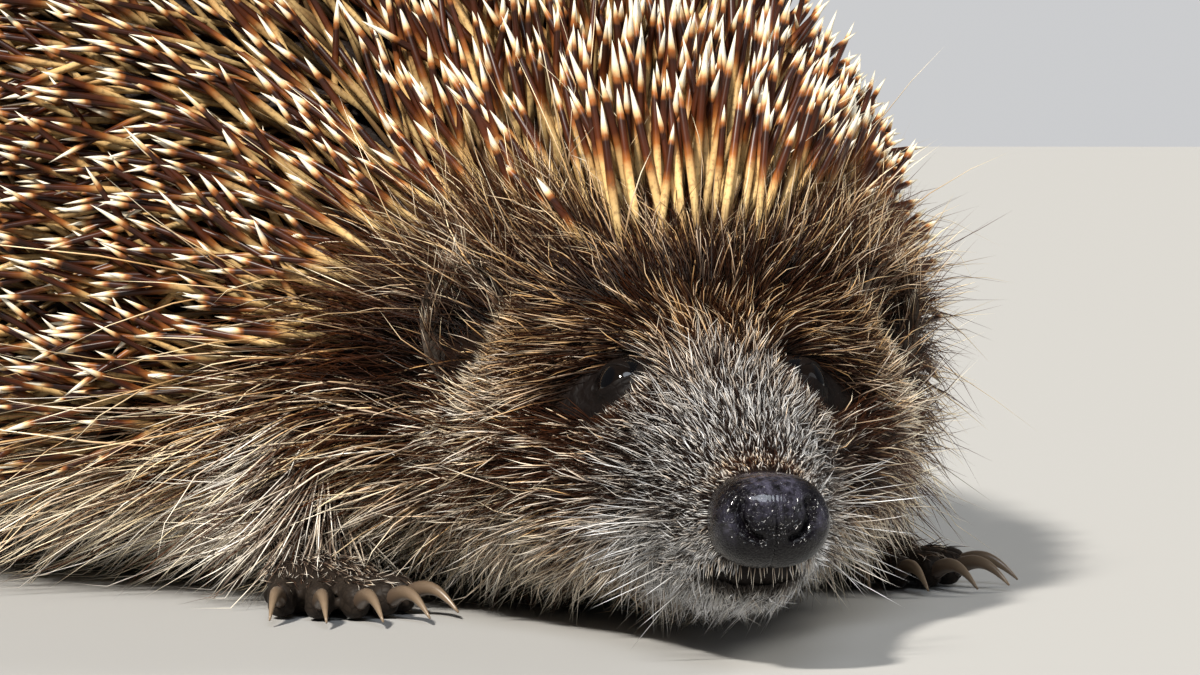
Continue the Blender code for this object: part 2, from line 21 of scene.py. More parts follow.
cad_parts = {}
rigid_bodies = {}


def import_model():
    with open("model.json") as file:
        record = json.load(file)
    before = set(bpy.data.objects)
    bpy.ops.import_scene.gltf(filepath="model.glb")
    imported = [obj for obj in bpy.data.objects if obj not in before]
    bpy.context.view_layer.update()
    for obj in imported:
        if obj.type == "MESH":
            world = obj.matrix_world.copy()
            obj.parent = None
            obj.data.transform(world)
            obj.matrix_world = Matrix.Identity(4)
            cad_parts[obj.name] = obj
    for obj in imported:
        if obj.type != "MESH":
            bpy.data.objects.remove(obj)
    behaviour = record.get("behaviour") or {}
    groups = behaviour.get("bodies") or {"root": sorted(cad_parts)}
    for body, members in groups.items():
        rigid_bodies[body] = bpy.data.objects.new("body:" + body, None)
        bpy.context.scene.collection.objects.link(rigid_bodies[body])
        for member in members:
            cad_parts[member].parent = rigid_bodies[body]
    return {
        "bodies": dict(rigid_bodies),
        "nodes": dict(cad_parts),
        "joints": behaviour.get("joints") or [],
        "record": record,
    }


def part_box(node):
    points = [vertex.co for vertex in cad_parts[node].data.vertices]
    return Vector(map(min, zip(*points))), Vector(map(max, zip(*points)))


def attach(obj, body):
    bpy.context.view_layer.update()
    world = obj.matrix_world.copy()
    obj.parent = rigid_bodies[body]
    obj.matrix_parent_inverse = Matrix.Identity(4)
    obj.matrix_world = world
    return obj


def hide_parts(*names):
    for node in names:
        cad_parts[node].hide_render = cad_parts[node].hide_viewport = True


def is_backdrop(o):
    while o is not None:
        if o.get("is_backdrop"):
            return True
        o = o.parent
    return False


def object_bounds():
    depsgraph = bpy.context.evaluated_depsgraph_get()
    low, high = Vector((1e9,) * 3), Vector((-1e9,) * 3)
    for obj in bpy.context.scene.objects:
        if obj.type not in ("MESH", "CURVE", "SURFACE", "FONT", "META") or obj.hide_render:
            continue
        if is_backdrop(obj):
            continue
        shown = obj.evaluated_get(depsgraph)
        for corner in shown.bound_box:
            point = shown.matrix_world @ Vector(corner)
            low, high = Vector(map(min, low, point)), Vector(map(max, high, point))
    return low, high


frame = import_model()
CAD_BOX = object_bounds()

logging.basicConfig(level=logging.INFO, format="%(message)s")
log = logging.getLogger("hedgehog")
rng = np.random.default_rng(7)  # the one source of chance, so that every build is alike

Array = np.ndarray
Material = bpy.types.Material
Mesh = bpy.types.Mesh
Object = bpy.types.Object
Socket = bpy.types.NodeSocket
Pair = tuple[float, float]
Triple = tuple[float, float, float]
Line = tuple[Pair, ...]

UNWRAP_NAME = "OFBake"
UNWRAP_PATCH = 0.003
FLOOR_CLEARANCE = 0.0002
OUTLINE_SPARE = 0.01  # how far a stray hair may pass the solids' box
MOST_TRIANGLES = 190_000  # in one piece of the coat
UP = np.array((0.0, 0.0, 1.0))


# -------- shader building


class Graph:
    """A short way to add nodes to the node tree of a material or of a group."""

    def __init__(self, tree: bpy.types.NodeTree) -> None:
        """Keeps the tree that the nodes go into."""
        self.tree = tree

    def node(self, kind: str, inputs: dict | None = None, **settings: object) -> bpy.types.Node:
        """Adds one node.

        Args:
            kind: Blender's name of its type, after the word ShaderNode.
            inputs: values or other nodes' sockets, by the name or number of the input.
            settings: properties of the node itself.

        Returns:
            The new node.
        """
        made = self.tree.nodes.new(f"ShaderNode{kind}")
        for key, value in settings.items():
            setattr(made, key, value)
        for key, value in (inputs or {}).items():
            self.feed(made.inputs[key], value)
        return made

    def feed(self, socket: Socket, value: object) -> None:
        """Links a socket to an input, or sets the input's own value.

        Args:
            socket: the input.
            value: another node's socket, a number or a colour.
        """
        if isinstance(value, Socket):
            self.tree.links.new(value, socket)
        elif socket.type == "RGBA":
            socket.default_value = (*value, 1.0)
        else:
            socket.default_value = value

    def dress(self, label: str, value: object) -> None:
        """Feeds one input of the material's own shader."""
        self.feed(self.tree.nodes["Principled BSDF"].inputs[label], value)

    def attribute(self, name: str) -> Socket:
        """The value of a mesh attribute, as a number."""
        return self.node("Attribute", attribute_name=name).outputs["Fac"]

    def place(self) -> Socket:
        """Where a point lies in the animal's frame."""
        return self.node("TexCoord").outputs["Object"]

    def math(self, operation: str, *values: object, clamp: bool = False) -> Socket:
        """One arithmetic step on numbers or sockets."""
        inputs = dict(enumerate(values))
        return self.node("Math", inputs, operation=operation, use_clamp=clamp).outputs[0]

    def mix(self, share: object, first: object, second: object) -> Socket:
        """A colour between two, by a share from 0 to 1."""
        return self.node("Mix", {0: share, 6: first, 7: second}, data_type="RGBA").outputs[2]

    def scaled(self, colour: Socket, factor: Socket) -> Socket:
        """A colour made darker or lighter."""
        return self.node("VectorMath", {0: colour, "Scale": factor}, operation="SCALE").outputs[0]

    def noise(self, place: Socket, scale: float, detail: float = 2.0) -> Socket:
        """Smooth noise from 0 to 1 at a place, its features about 1/scale metres wide."""
        inputs = {"Vector": place, "Scale": scale, "Detail": detail}
        return self.node("TexNoise", inputs).outputs["Fac"]

    def ramp(self, value: Socket, stops: Sequence[tuple]) -> Socket:
        """A colour read off a row of stops.

        Args:
            value: where to read it, 0 to 1.
            stops: the place and the colour of each stop.

        Returns:
            The colour.
        """
        made = self.node("ValToRGB", {"Fac": value})
        points = made.color_ramp.elements
        while len(points) < len(stops):
            points.new(1.0)
        for point, (place, colour) in zip(points, stops):
            point.position, point.color = place, (*colour, 1.0)
        return made.outputs["Color"]

    def remap(self, value: Socket, low: float, high: float) -> Socket:
        """0 below low, 1 above high, and a smooth step between."""
        inputs = {"Value": value, "From Min": low, "From Max": high}
        return self.node("MapRange", inputs, interpolation_type="SMOOTHSTEP").outputs[0]

    def pores(self, place: Socket, scale: float, distance: float, strength: float) -> Socket:
        """Gives the material skin relief.

        Args:
            place: where a point lies.
            scale: how fine the pores are.
            distance: how deep the relief is.
            strength: how much of it is seen.

        Returns:
            A mask of the hollows between the creases.
        """
        group = self.node("Group", {"Place": place, "Scale": scale}, node_tree=Groups.pores())
        inputs = {"Height": group.outputs["Height"], "Distance": distance, "Strength": strength}
        self.dress("Normal", self.node("Bump", inputs).outputs["Normal"])
        return group.outputs["Hollow"]


# Rows of (place along the hair, colour), from root to tip.
COLD_DARK = ((0.0, (0.003, 0.0022, 0.002)), (0.45, (0.009, 0.006, 0.0052)), (1.0, (0.038, 0.026, 0.021)))
WARM_DARK = ((0.0, (0.004, 0.0018, 0.001)), (0.45, (0.024, 0.007, 0.0024)), (1.0, (0.118, 0.036, 0.0095)))
COLD_PALE = (
    (0.0, (0.012, 0.009, 0.008)),
    (0.22, (0.07, 0.06, 0.052)),
    (0.45, (0.46, 0.45, 0.43)),
    (0.8, (0.92, 0.93, 0.96)),
)
WARM_PALE = (
    (0.0, (0.012, 0.006, 0.003)),
    (0.25, (0.07, 0.033, 0.013)),
    (0.5, (0.5, 0.3, 0.13)),
    (0.85, (0.98, 0.84, 0.57)),
)


class Groups:
    """The shader node groups that several finishes share, each built once."""

    @staticmethod
    def start(name: str, inputs: dict[str, float | None], outputs: dict[str, str]) -> tuple:
        """Makes an empty group with named sockets.

        Args:
            name: the group's name.
            inputs: the default of each input, or None for one that takes a place.
            outputs: the kind of each output.

        Returns:
            Its graph, and the sockets to read from and to feed.
        """
        tree = bpy.data.node_groups.new(name, "ShaderNodeTree")
        for label, default in inputs.items():
            kind = "NodeSocketVector" if default is None else "NodeSocketFloat"
            socket = tree.interface.new_socket(name=label, in_out="INPUT", socket_type=kind)
            if default is not None:
                socket.default_value = default
        for label, kind in outputs.items():
            tree.interface.new_socket(name=label, in_out="OUTPUT", socket_type=f"NodeSocket{kind}")
        entry, leave = tree.nodes.new("NodeGroupInput"), tree.nodes.new("NodeGroupOutput")
        return Graph(tree), entry.outputs, leave.inputs

    @staticmethod
    def markings() -> bpy.types.NodeTree:
        """The animal's colours, which skin and coat share.

        Returns:
            A group that makes a colour of how pale and warm a place is, and how far along a hair.
        """
        name = "coat markings"
        if name in bpy.data.node_groups:
            return bpy.data.node_groups[name]
        defaults = {"Pale": 0.0, "Warm": 0.5, "Along": 0.0, "Tone": 0.5}
        g, given, result = Groups.start(name, defaults, {"Color": "Color"})
        along, warm = given["Along"], given["Warm"]
        dark = g.mix(warm, g.ramp(along, COLD_DARK), g.ramp(along, WARM_DARK))
        pale = g.mix(warm, g.ramp(along, COLD_PALE), g.ramp(along, WARM_PALE))
        light = g.math("MULTIPLY_ADD", given["Tone"], 0.7, 0.65)
        g.feed(result["Color"], g.scaled(g.mix(given["Pale"], dark, pale), light))
        return g.tree

    @staticmethod
    def pores() -> bpy.types.NodeTree:
        """Fine skin relief.

        Returns:
            A group with a height for a bump, and a mask of the hollows between the creases.
        """
        name = "skin pores"
        if name in bpy.data.node_groups:
            return bpy.data.node_groups[name]
        outputs = {"Height": "Float", "Hollow": "Float"}
        g, given, result = Groups.start(name, {"Place": None, "Scale": 1500.0}, outputs)
        inputs = {"Vector": given["Place"], "Scale": given["Scale"]}
        cells = g.node("TexVoronoi", inputs, feature="DISTANCE_TO_EDGE")
        edge = g.remap(cells.outputs["Distance"], 0.0, 0.22)
        g.feed(result["Height"], g.math("MULTIPLY_ADD", g.noise(given["Place"], 420.0), 0.8, edge))
        g.feed(result["Hollow"], g.math("SUBTRACT", 1.0, edge))
        return g.tree


# -------- finishes


@dataclass(frozen=True)
class Finish:
    """A finish of the animal or of the studio, whose material is built once."""

    name: str

    def material(self) -> Material:
        """The material, built when it is first asked for."""
        return bpy.data.materials.get(self.name) or self.make()

    def make(self) -> Material:
        """Builds the material."""
        raise NotImplementedError

    def start(self, **settings: float) -> tuple[Material, Graph]:
        """Starts the material.

        Args:
            settings: the constant inputs of its shader, with _ for each space of their names.

        Returns:
            The material and its graph.
        """
        made = bpy.data.materials.new(self.name)
        made.use_nodes = True
        g = Graph(made.node_tree)
        for label, value in settings.items():
            g.dress(label.replace("_", " "), value)
        return made, g


@dataclass(frozen=True)
class HairFinish(Finish):
    """Fur in the shared markings."""

    name: str = "banded hair"

    def make(self) -> Material:
        """Builds the material.

        Returns:
            The material.
        """
        made, g = self.start(Roughness=0.36, Specular_IOR_Level=0.09)
        inputs = {label: g.attribute(label.lower()) for label in ("Pale", "Warm", "Tone")}
        inputs["Along"] = g.math("SUBTRACT", g.attribute("along"), g.attribute("collar"), clamp=True)
        group = g.node("Group", inputs, node_tree=Groups.markings())
        g.dress("Base Color", group.outputs["Color"])
        return made


@dataclass(frozen=True)
class SpineFinish(Finish):
    """Banded keratin: a pale shaft, a dark band and a white tip, with the root darkened as painted shade
    between the spines.
    """

    name: str = "spine horn"
    worn: tuple = (0.12, 0.06, 0.025)  # the colour of the specks on the shaft
    bands: tuple = (
        # the first two bands darken the root: painted shade between the spines near the skin
        (0.0, (0.024, 0.012, 0.006)),
        (0.2, (0.16, 0.095, 0.04)),
        (0.38, (0.55, 0.38, 0.165)),
        (0.52, (0.46, 0.28, 0.11)),
        (0.58, (0.22, 0.072, 0.016)),
        (0.65, (0.06, 0.014, 0.004)),
        (0.81, (0.022, 0.007, 0.004)),
        (0.845, (0.26, 0.085, 0.02)),
        (0.875, (0.64, 0.44, 0.22)),
        (0.91, (0.72, 0.66, 0.53)),
    )

    def make(self) -> Material:
        """Builds the material.

        Returns:
            The material.
        """
        made, g = self.start(Roughness=0.34, Specular_IOR_Level=0.24)
        along, place = g.attribute("along"), g.place()
        drift = g.math("MULTIPLY_ADD", g.attribute("tone"), 0.09, -0.045)
        wander = g.math("MULTIPLY_ADD", g.noise(place, 900.0), 0.05, -0.025)
        inner = g.math("ADD", g.math("ADD", along, drift), wander)
        banded = g.ramp(inner, self.bands)
        speckle = g.remap(g.noise(place, 2300.0, 3.0), 0.48, 0.7)
        worn = g.mix(g.math("MULTIPLY", speckle, 0.55), banded, self.worn)
        kept = g.mix(g.remap(along, 0.55, 0.62), worn, banded)
        shaded = g.scaled(kept, g.math("MULTIPLY_ADD", g.attribute("shade"), 0.6, 0.6))
        g.dress("Base Color", g.mix(g.remap(inner, 0.83, 0.86), shaded, banded))
        return made


@dataclass(frozen=True)
class SkinFinish(Finish):
    """Thin skin under the coat, bare and dark on ears, lids and soles. Under the coat it is near black,
    partly painted shade, and darker in its creases as painted shade.
    """

    name: str = "hide"
    bare: tuple = (0.0042, 0.0025, 0.002)
    ear: tuple = (0.062, 0.047, 0.035)
    mottling: tuple = (0.004, 0.003, 0.0025)
    # painted shade: the colour laid into the creases between the pores
    creases: tuple = (0.004, 0.003, 0.003)

    def make(self) -> Material:
        """Builds the material.

        Returns:
            The material.
        """
        made, g = self.start(Roughness=0.55, Specular_IOR_Level=0.09)
        place = g.place()
        inputs = {label: g.attribute(label.lower()) for label in ("Pale", "Warm")}
        # the skin takes the dark colour of the hairs' roots: partly its own dark colour, partly painted
        # shade under the coat
        inputs |= {"Along": 0.06, "Tone": g.noise(place, 700.0)}
        group = g.node("Group", inputs, node_tree=Groups.markings())
        hollow = g.pores(place, 1300.0, distance=0.00004, strength=0.6)
        spots = g.remap(g.noise(place, 380.0, 3.0), 0.4, 0.7)
        naked = g.mix(g.attribute("thin"), self.bare, self.ear)
        mottled = g.mix(g.math("MULTIPLY", spots, 0.45), naked, self.mottling)
        colour = g.mix(g.attribute("bare"), group.outputs["Color"], mottled)
        # the creases between the pores get a darker colour: painted shade
        g.dress("Base Color", g.mix(g.math("MULTIPLY", hollow, 0.35), colour, self.creases))
        return made


@dataclass(frozen=True)
class NoseFinish(Finish):
    """Wet black nose skin with fine pebbling, and a paler violet grey painted on its top and lobes as
    painted sheen.
    """

    name: str = "wet nose"
    colour: tuple = (0.0016, 0.0011, 0.0018)  # black with a little violet
    # the paler violet grey of the painted sheen on the top and the lobes
    pale: tuple = (0.052, 0.049, 0.072)

    def make(self) -> Material:
        """Builds the material.

        Returns:
            The material.
        """
        made, g = self.start(Roughness=0.19, Specular_IOR_Level=0.2, Coat_Roughness=0.04)
        place, upper = g.place(), g.attribute("upper")
        g.pores(place, 2900.0, distance=0.00008, strength=0.75)
        painted_sheen_clouds = g.remap(g.noise(place, 1500.0, 3.0), 0.28, 0.78)
        # painted sheen: clouds of paler violet grey over the top and the lobes, by the upper mask
        g.dress("Base Color", g.mix(g.math("MULTIPLY", painted_sheen_clouds, upper), self.colour, self.pale))
        g.dress("Coat Weight", g.math("MULTIPLY_ADD", upper, 0.62, 0.05))
        return made


@dataclass(frozen=True)
class EyeFinish(Finish):
    """A wet, almost black eye with a dark brown iris."""

    name: str = "wet eye"
    ball: tuple = (0.0015, 0.0015, 0.002)
    iris: tuple = ((0.0022, 0.0016, 0.0015), (0.0065, 0.004, 0.0028))

    def make(self) -> Material:
        """Builds the material.

        Returns:
            The material.
        """
        made, g = self.start(Roughness=0.06, IOR=1.36)
        brown = g.mix(g.noise(g.place(), 2500.0, 3.0), *self.iris)
        g.dress("Base Color", g.mix(g.attribute("iris"), self.ball, brown))
        return made


@dataclass(frozen=True)
class ClawFinish(Finish):
    """Translucent brown horn, paler at the tip."""

    name: str = "claw horn"
    horn: tuple = ((0.0, (0.045, 0.03, 0.022)), (1.0, (0.23, 0.165, 0.105)))
    streaks: tuple = (0.07, 0.045, 0.03)

    def make(self) -> Material:
        """Builds the material.

        Returns:
            The material.
        """
        made, g = self.start(Roughness=0.32)
        share = g.math("MULTIPLY", g.noise(g.place(), 1800.0), 0.4)
        g.dress("Base Color", g.mix(share, g.ramp(g.attribute("along"), self.horn), self.streaks))
        return made


@dataclass(frozen=True)
class FloorFinish(Finish):
    """A plain pale studio floor."""

    name: str = "studio floor"
    colour: tuple = (0.33, 0.325, 0.315)

    def make(self) -> Material:
        """Builds the material."""
        made, _ = self.start(Roughness=0.75, Base_Color=self.colour)
        return made


# -------- small sums


def metres(value: float) -> float:
    """Millimetres in metres."""
    return round(value / 1000, 8)


def unit(vectors: Array) -> Array:
    """The same directions, one long."""
    return vectors / np.maximum(np.linalg.norm(vectors, axis=-1, keepdims=True), 1e-12)


def dot(first: Array, second: Array) -> Array:
    """Row by row dot product, kept as a column."""
    return (first * second).sum(axis=-1, keepdims=True)


def step(values: Array, low: float, high: float) -> Array:
    """0 below low, 1 above high (or the other way round), smooth between."""
    share = np.clip((values - low) / (high - low), 0.0, 1.0)
    return share * share * (3 - 2 * share)


def bump_at(values: Array, middle: float, width: float) -> Array:
    """A bell of height 1 at the middle."""
    return np.exp(-(((values - middle) / width) ** 2))


# -------- the body's form


@dataclass(frozen=True)
class Station:
    """One cross-section of the naked body: its place along the spine line, and its measures there."""

    along: float  # distance from the nose tip
    half_width: float  # from the middle to the widest point
    top: float  # height of the back
    belt: float  # height at which it is widest
    bottom: float  # height of the underside

    @staticmethod
    def rows(*rows: tuple[float, ...]) -> "tuple[Station, ...]":
        """Stations from rows in millimetres."""
        return tuple(Station(*map(metres, row)) for row in rows)


class Side(Enum):
    """The animal's right and left, as the sign of the distance out from its middle."""

    RIGHT = -1
    LEFT = 1


@dataclass
class BodyForm:
    """The naked body on its bent spine line, in the frame of the solids."""

    head_turn: float = math.radians(32)  # how far the head is turned to its right
    head_length: float = 0.045  # the straight length from the nose tip to the neck's bend
    bend_length: float = 0.06  # the length over which the neck bends
    # where an eye's centre lies: along, out and up
    eye: Triple = (0.0291, 0.0087, 0.0238)
    # the body's cross-sections, in millimetres: along, half width, top, belt and bottom
    stations: tuple[Station, ...] = Station.rows(
        (3.4, 4, 17.4, 13.8, 10.4),
        (5.2, 4.9, 18, 13.6, 8.4),
        (7.5, 5.4, 18.6, 13.5, 7.3),
        (11, 6.2, 19.7, 13.8, 6.2),
        (20, 8.3, 23.1, 15, 5.5),
        (29, 11.9, 27.7, 17.4, 5.2),
        (36, 16.3, 30.9, 19, 5.2),
        (41, 18.6, 33.2, 20, 5.4),
        (45, 20, 35, 21.2, 5.6),
        (54, 23.2, 40, 23.5, 5.8),
        (66, 27.2, 46.8, 25.5, 6),
        (83, 35, 59, 28.5, 6.5),
        (106, 45, 77, 31, 7),
        (135, 51, 89.5, 32, 7),
        (164, 50.5, 88.5, 32, 7),
        (189, 44, 74.5, 31, 8),
        (202, 34.5, 59, 30, 12),
        (211, 22.5, 45, 29, 17),
        (215, 12, 36, 28, 21),
    )
    lower_roundness: Line = ((0.03, 2.2), (0.08, 3.0))
    shift: Array = field(default_factory=lambda: np.zeros(3))

    def __post_init__(self) -> None:
        """Puts the spine line where the solids have it, by the right eye's place."""
        low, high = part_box("eye_right")
        along, out, height = self.eye
        wanted = (np.array(low) + np.array(high)) / 2
        self.shift = wanted - self.place(along, -out, height)

    def heading(self, along: Array) -> Array:
        """The angle from +Y towards +X in which the spine line runs to the rear."""
        share = np.clip((along - self.head_length) / self.bend_length, 0.0, 1.0)
        return self.head_turn * (1 - share)

    def place(self, along: Array, out: Array, height: Array) -> Array:
        """Points in the frame.

        Args:
            along: places along the spine line.
            out: distances out to the animal's left.
            height: heights above the floor.

        Returns:
            The points, with a last axis of three.
        """
        turn = self.heading(along)
        straight = np.minimum(along, self.head_length)
        radius = self.bend_length / self.head_turn
        bend_x = radius * (np.cos(turn) - math.cos(self.head_turn))
        bend_y = radius * (math.sin(self.head_turn) - np.sin(turn))
        rest = np.maximum(along - self.head_length - self.bend_length, 0.0)
        x = straight * math.sin(self.head_turn) + bend_x + np.cos(turn) * out
        y = straight * math.cos(self.head_turn) + bend_y + rest - np.sin(turn) * out
        return np.stack(np.broadcast_arrays(x, y, height), axis=-1) + self.shift

    def locate(self, points: Array) -> tuple[Array, Array, Array]:
        """Finds where points lie on the body.

        Args:
            points: points in the frame.

        Returns:
            Their places along the spine line, out to the left and up.
        """
        x, y, height = np.moveaxis(points - self.shift, -1, 0)
        turn, radius = self.head_turn, self.bend_length / self.head_turn
        centre_x = self.head_length * math.sin(turn) - radius * math.cos(turn)
        centre_y = self.head_length * math.cos(turn) + radius * math.sin(turn)
        angle = np.arctan2(centre_y - y, x - centre_x)
        along = self.head_length + self.bend_length * (1 - angle / turn)
        out = np.hypot(x - centre_x, y - centre_y) - radius
        on_head, on_trunk = angle > turn, angle < 0.0
        along = np.where(on_head, x * math.sin(turn) + y * math.cos(turn), along)
        out = np.where(on_head, x * math.cos(turn) - y * math.sin(turn), out)
        along = np.where(on_trunk, self.head_length + self.bend_length + y - centre_y, along)
        out = np.where(on_trunk, x - centre_x - radius, out)
        return along, out, height

    def fullness(self, points: Array) -> Array:
        """How far out of the body points lie.

        Args:
            points: points in the frame.

        Returns:
            Below 1 inside the body, 1 at its surface and above 1 outside.
        """
        along, out, height = self.locate(points)
        beyond = np.maximum(along - self.stations[-1].along, 0.0) / 0.004
        along = np.clip(along, self.stations[0].along, self.stations[-1].along)
        belt = self.measure("belt", along)
        up = self.measure("top", along) - belt
        down = belt - self.measure("bottom", along)
        high = height - belt
        power = np.where(high > 0, 2.0, np.interp(along, *zip(*self.lower_roundness)))
        tall = np.abs(high) / np.where(high > 0, up, down)
        wide = np.abs(out) / self.measure("half_width", along)
        return (wide**power + tall**power) ** (1.0 / power) + beyond

    def axes(self, along: float) -> tuple[Array, Array, Array]:
        """The body's own directions.

        Args:
            along: a place along the spine line.

        Returns:
            The directions to the left, to the rear and up.
        """
        turn = self.heading(along)
        left = np.array((math.cos(turn), -math.sin(turn), 0.0))
        rear = np.array((math.sin(turn), math.cos(turn), 0.0))
        return left, rear, UP

    def measure(self, name: str, along: Array) -> Array:
        """One of the stations' measures, on a smooth curve through them.

        Args:
            name: the measure's name.
            along: places along the spine line.

        Returns:
            Its value at each place.
        """
        places = np.array([s.along for s in self.stations])
        values = np.array([getattr(s, name) for s in self.stations])
        slopes = np.gradient(values, places)
        i = np.clip(np.searchsorted(places, along) - 1, 0, len(places) - 2)
        span = places[i + 1] - places[i]
        t = (along - places[i]) / span
        start = (2 * t**3 - 3 * t**2 + 1) * values[i] + (t**3 - 2 * t**2 + t) * span * slopes[i]
        end = (3 * t**2 - 2 * t**3) * values[i + 1] + (t**3 - t**2) * span * slopes[i + 1]
        return start + end

    def section(self, along: Array, turn: Array) -> tuple[Array, Array]:
        """A point of the body's cross-section.

        Args:
            along: places along the spine line.
            turn: angles round the body, 0 at the left belt and a quarter turn at the top.

        Returns:
            The distances out to the left, and the heights.
        """
        across, high = np.cos(turn), np.sin(turn)
        lower = np.interp(along, *zip(*self.lower_roundness))
        power = 2.0 / np.where(high > 0, 2.0, lower)
        half_width = self.measure("half_width", along)
        belt = self.measure("belt", along)
        up = self.measure("top", along) - belt
        down = belt - self.measure("bottom", along)
        out = np.sign(across) * np.abs(across) ** power * half_width
        height = belt + np.sign(high) * np.abs(high) ** power * np.where(high > 0, up, down)
        return out, height


# The coat's outline, out to its tips, in millimetres like the stations.
OUTLINE = Station.rows(
    (4, 5, 18.2, 13.6, 9.2),
    (7, 6, 19.2, 13.6, 6.4),
    (11, 7, 20.6, 13.8, 5),
    (20, 9.4, 24.2, 15, 4.2),
    (29, 13.6, 29.4, 17.5, 3.8),
    (36, 18.6, 33, 19, 3.5),
    (41, 20.6, 36.2, 20, 3.3),
    (45, 22.6, 53, 21.5, 3),
    (54, 29, 59, 24, 2.8),
    (66, 35, 66, 26, 2.5),
    (83, 44, 76, 28.5, 2.2),
    (106, 56, 93, 31, 2),
    (135, 63, 105, 32, 2),
    (164, 63, 104, 32, 2),
    (189, 56.6, 90, 31, 3),
    (204, 44.5, 71, 29.5, 7),
    (213, 31.8, 55, 28.5, 12),
    (221, 10, 36, 28, 21),
)


@dataclass(frozen=True)
class Markings:
    """How the coat differs over the body."""

    spine_edge: Line = (  # the lower edge of the spines: along and height
        (0.0, 0.09),
        (0.0395, 0.05),
        (0.0415, 0.0325),
        (0.046, 0.034),
        (0.05, 0.035),
        (0.055, 0.035),
        (0.0594, 0.0336),
        (0.0618, 0.0317),
        (0.0636, 0.0298),
        (0.0654, 0.0268),
        (0.0703, 0.024),
        (0.0752, 0.0212),
        (0.0836, 0.0185),
        (0.1022, 0.015),
        (0.13, 0.014),
        (0.185, 0.014),
        (0.2, 0.0165),
        (0.23, 0.023),
    )

    def above_edge(self, roots: "Roots") -> Array:
        """How far places lie above the lower edge of the spines, below zero under it."""
        return roots.height - np.interp(roots.along, *zip(*self.spine_edge))

    def pale(self, roots: "Roots") -> Array:
        """How many hairs are pale.

        Args:
            roots: the places.

        Returns:
            Their share at each place, 0 to 1.
        """
        along, wide, height = roots.along, np.abs(roots.out), roots.height
        side = step(wide, 0.0045, 0.0085)
        crown = step(along, 0.028, 0.034) * step(height, 0.022, 0.027)
        bridge = step(along, 0.031, 0.024) * step(height, 0.0165, 0.0205)
        eye_stripe = bump_at(along, 0.032, 0.01) * bump_at(height, 0.0165, 0.005) * side
        snout = bump_at(along, 0.014, 0.008) * bump_at(height, 0.014, 0.0035) * side
        stop = bump_at(along, 0.0085, 0.0045) * step(wide, 0.0042, 0.0015) * step(height, 0.016, 0.0185)
        cheek = bump_at(along, 0.0385, 0.0042) * bump_at(height, 0.0228, 0.0042) * side
        throat = step(height, 0.0145, 0.0095) * step(along, 0.07, 0.055)
        flank = step(along, 0.048, 0.06) * step(height, 0.026, 0.018)
        belly = step(height, 0.019, 0.0085) * step(along, 0.045, 0.06)
        lids = bump_at(along, 0.0272, 0.006) * bump_at(height, 0.0226, 0.0036) * step(wide, 0.0046, 0.007)
        # fewer pale hairs behind the ears: painted shade on the neck
        neck = bump_at(along, 0.056, 0.009) * step(height, 0.018, 0.023)
        value = 0.3 - crown * 0.03 + bridge * 0.14
        value = value * (1 - 0.66 * eye_stripe) * (1 - 0.1 * snout) * (1 - 0.6 * stop)
        value = value + (0.85 - value) * cheek
        value = value + (0.85 - value) * throat - flank * 0.04
        value = value + (0.9 - value) * belly
        return np.clip(value * (1 - 0.82 * lids) * (1 - 0.9 * neck), 0.02, 0.98)

    def warm(self, roots: "Roots") -> Array:
        """How warm the colours are.

        Args:
            roots: the places.

        Returns:
            From silver grey at 0 to russet and gold at 1.
        """
        along, height = roots.along, roots.height
        crown = step(along, 0.022, 0.03) * step(height, 0.022, 0.027)
        muzzle = step(along, 0.03, 0.016)
        nose_top = bump_at(along, 0.0055, 0.0018) * step(height, 0.015, 0.0175)
        flank = step(along, 0.048, 0.06) * step(height, 0.01, 0.018)
        throat = step(height, 0.0135, 0.0095)
        value = 0.7 + crown * 0.2 - muzzle * 0.62 + nose_top * 0.5 + flank * 0.18 - throat * 0.12
        return np.clip(value, 0.0, 1.0)


# -------- meshes from arrays


@dataclass
class Shell:
    """A surface as arrays, with the numbers that its finish reads at each point."""

    points: Array  # the places of its vertices
    faces: Array  # quads of vertex numbers
    numbers: dict[str, Array] = field(default_factory=dict)  # a value at each vertex, by name

    @staticmethod
    def grid(points: Array, **numbers: Array | float) -> "Shell":
        """A shell from a grid of points whose last column joins the first.

        Args:
            points: rows by columns by three.
            numbers: a value or a grid of values for each name.

        Returns:
            The shell.
        """
        rows, columns = points.shape[:2]
        here = np.arange(rows * columns).reshape(rows, columns)
        after = np.roll(here, -1, axis=1)
        faces = np.stack((here[:-1], after[:-1], after[1:], here[1:]), axis=-1).reshape(-1, 4)
        flat = {k: np.broadcast_to(v, (rows, columns)).reshape(-1) for k, v in numbers.items()}
        return Shell(points.reshape(-1, 3), faces, flat)

    def with_numbers(self, **numbers: Array | float) -> "Shell":
        """The same shell with other numbers."""
        zero = np.zeros(len(self.points))
        return Shell(self.points, self.faces, {k: zero + v for k, v in numbers.items()})

    def turned(self) -> "Shell":
        """The same shell facing the other way."""
        return Shell(self.points, self.faces[:, ::-1], self.numbers)


def ball(rings: int, columns: int, edge: float) -> tuple[Array, Array]:
    """A ball of radius 1 as a grid.

    Args:
        rings: how many rows.
        columns: how many points in each.
        edge: how near the poles the first and the last row lie.

    Returns:
        The angles from the pole, as a column, and the grid of points, its poles on the last axis.
    """
    polar = np.linspace(edge, math.pi - edge, rings)[:, None]
    turn = np.linspace(0, 2 * math.pi, columns, endpoint=False)[None, :]
    across, high = np.sin(polar), np.cos(polar) * np.ones(columns)
    return polar, np.stack((across * np.cos(turn), across * np.sin(turn), high), axis=-1)


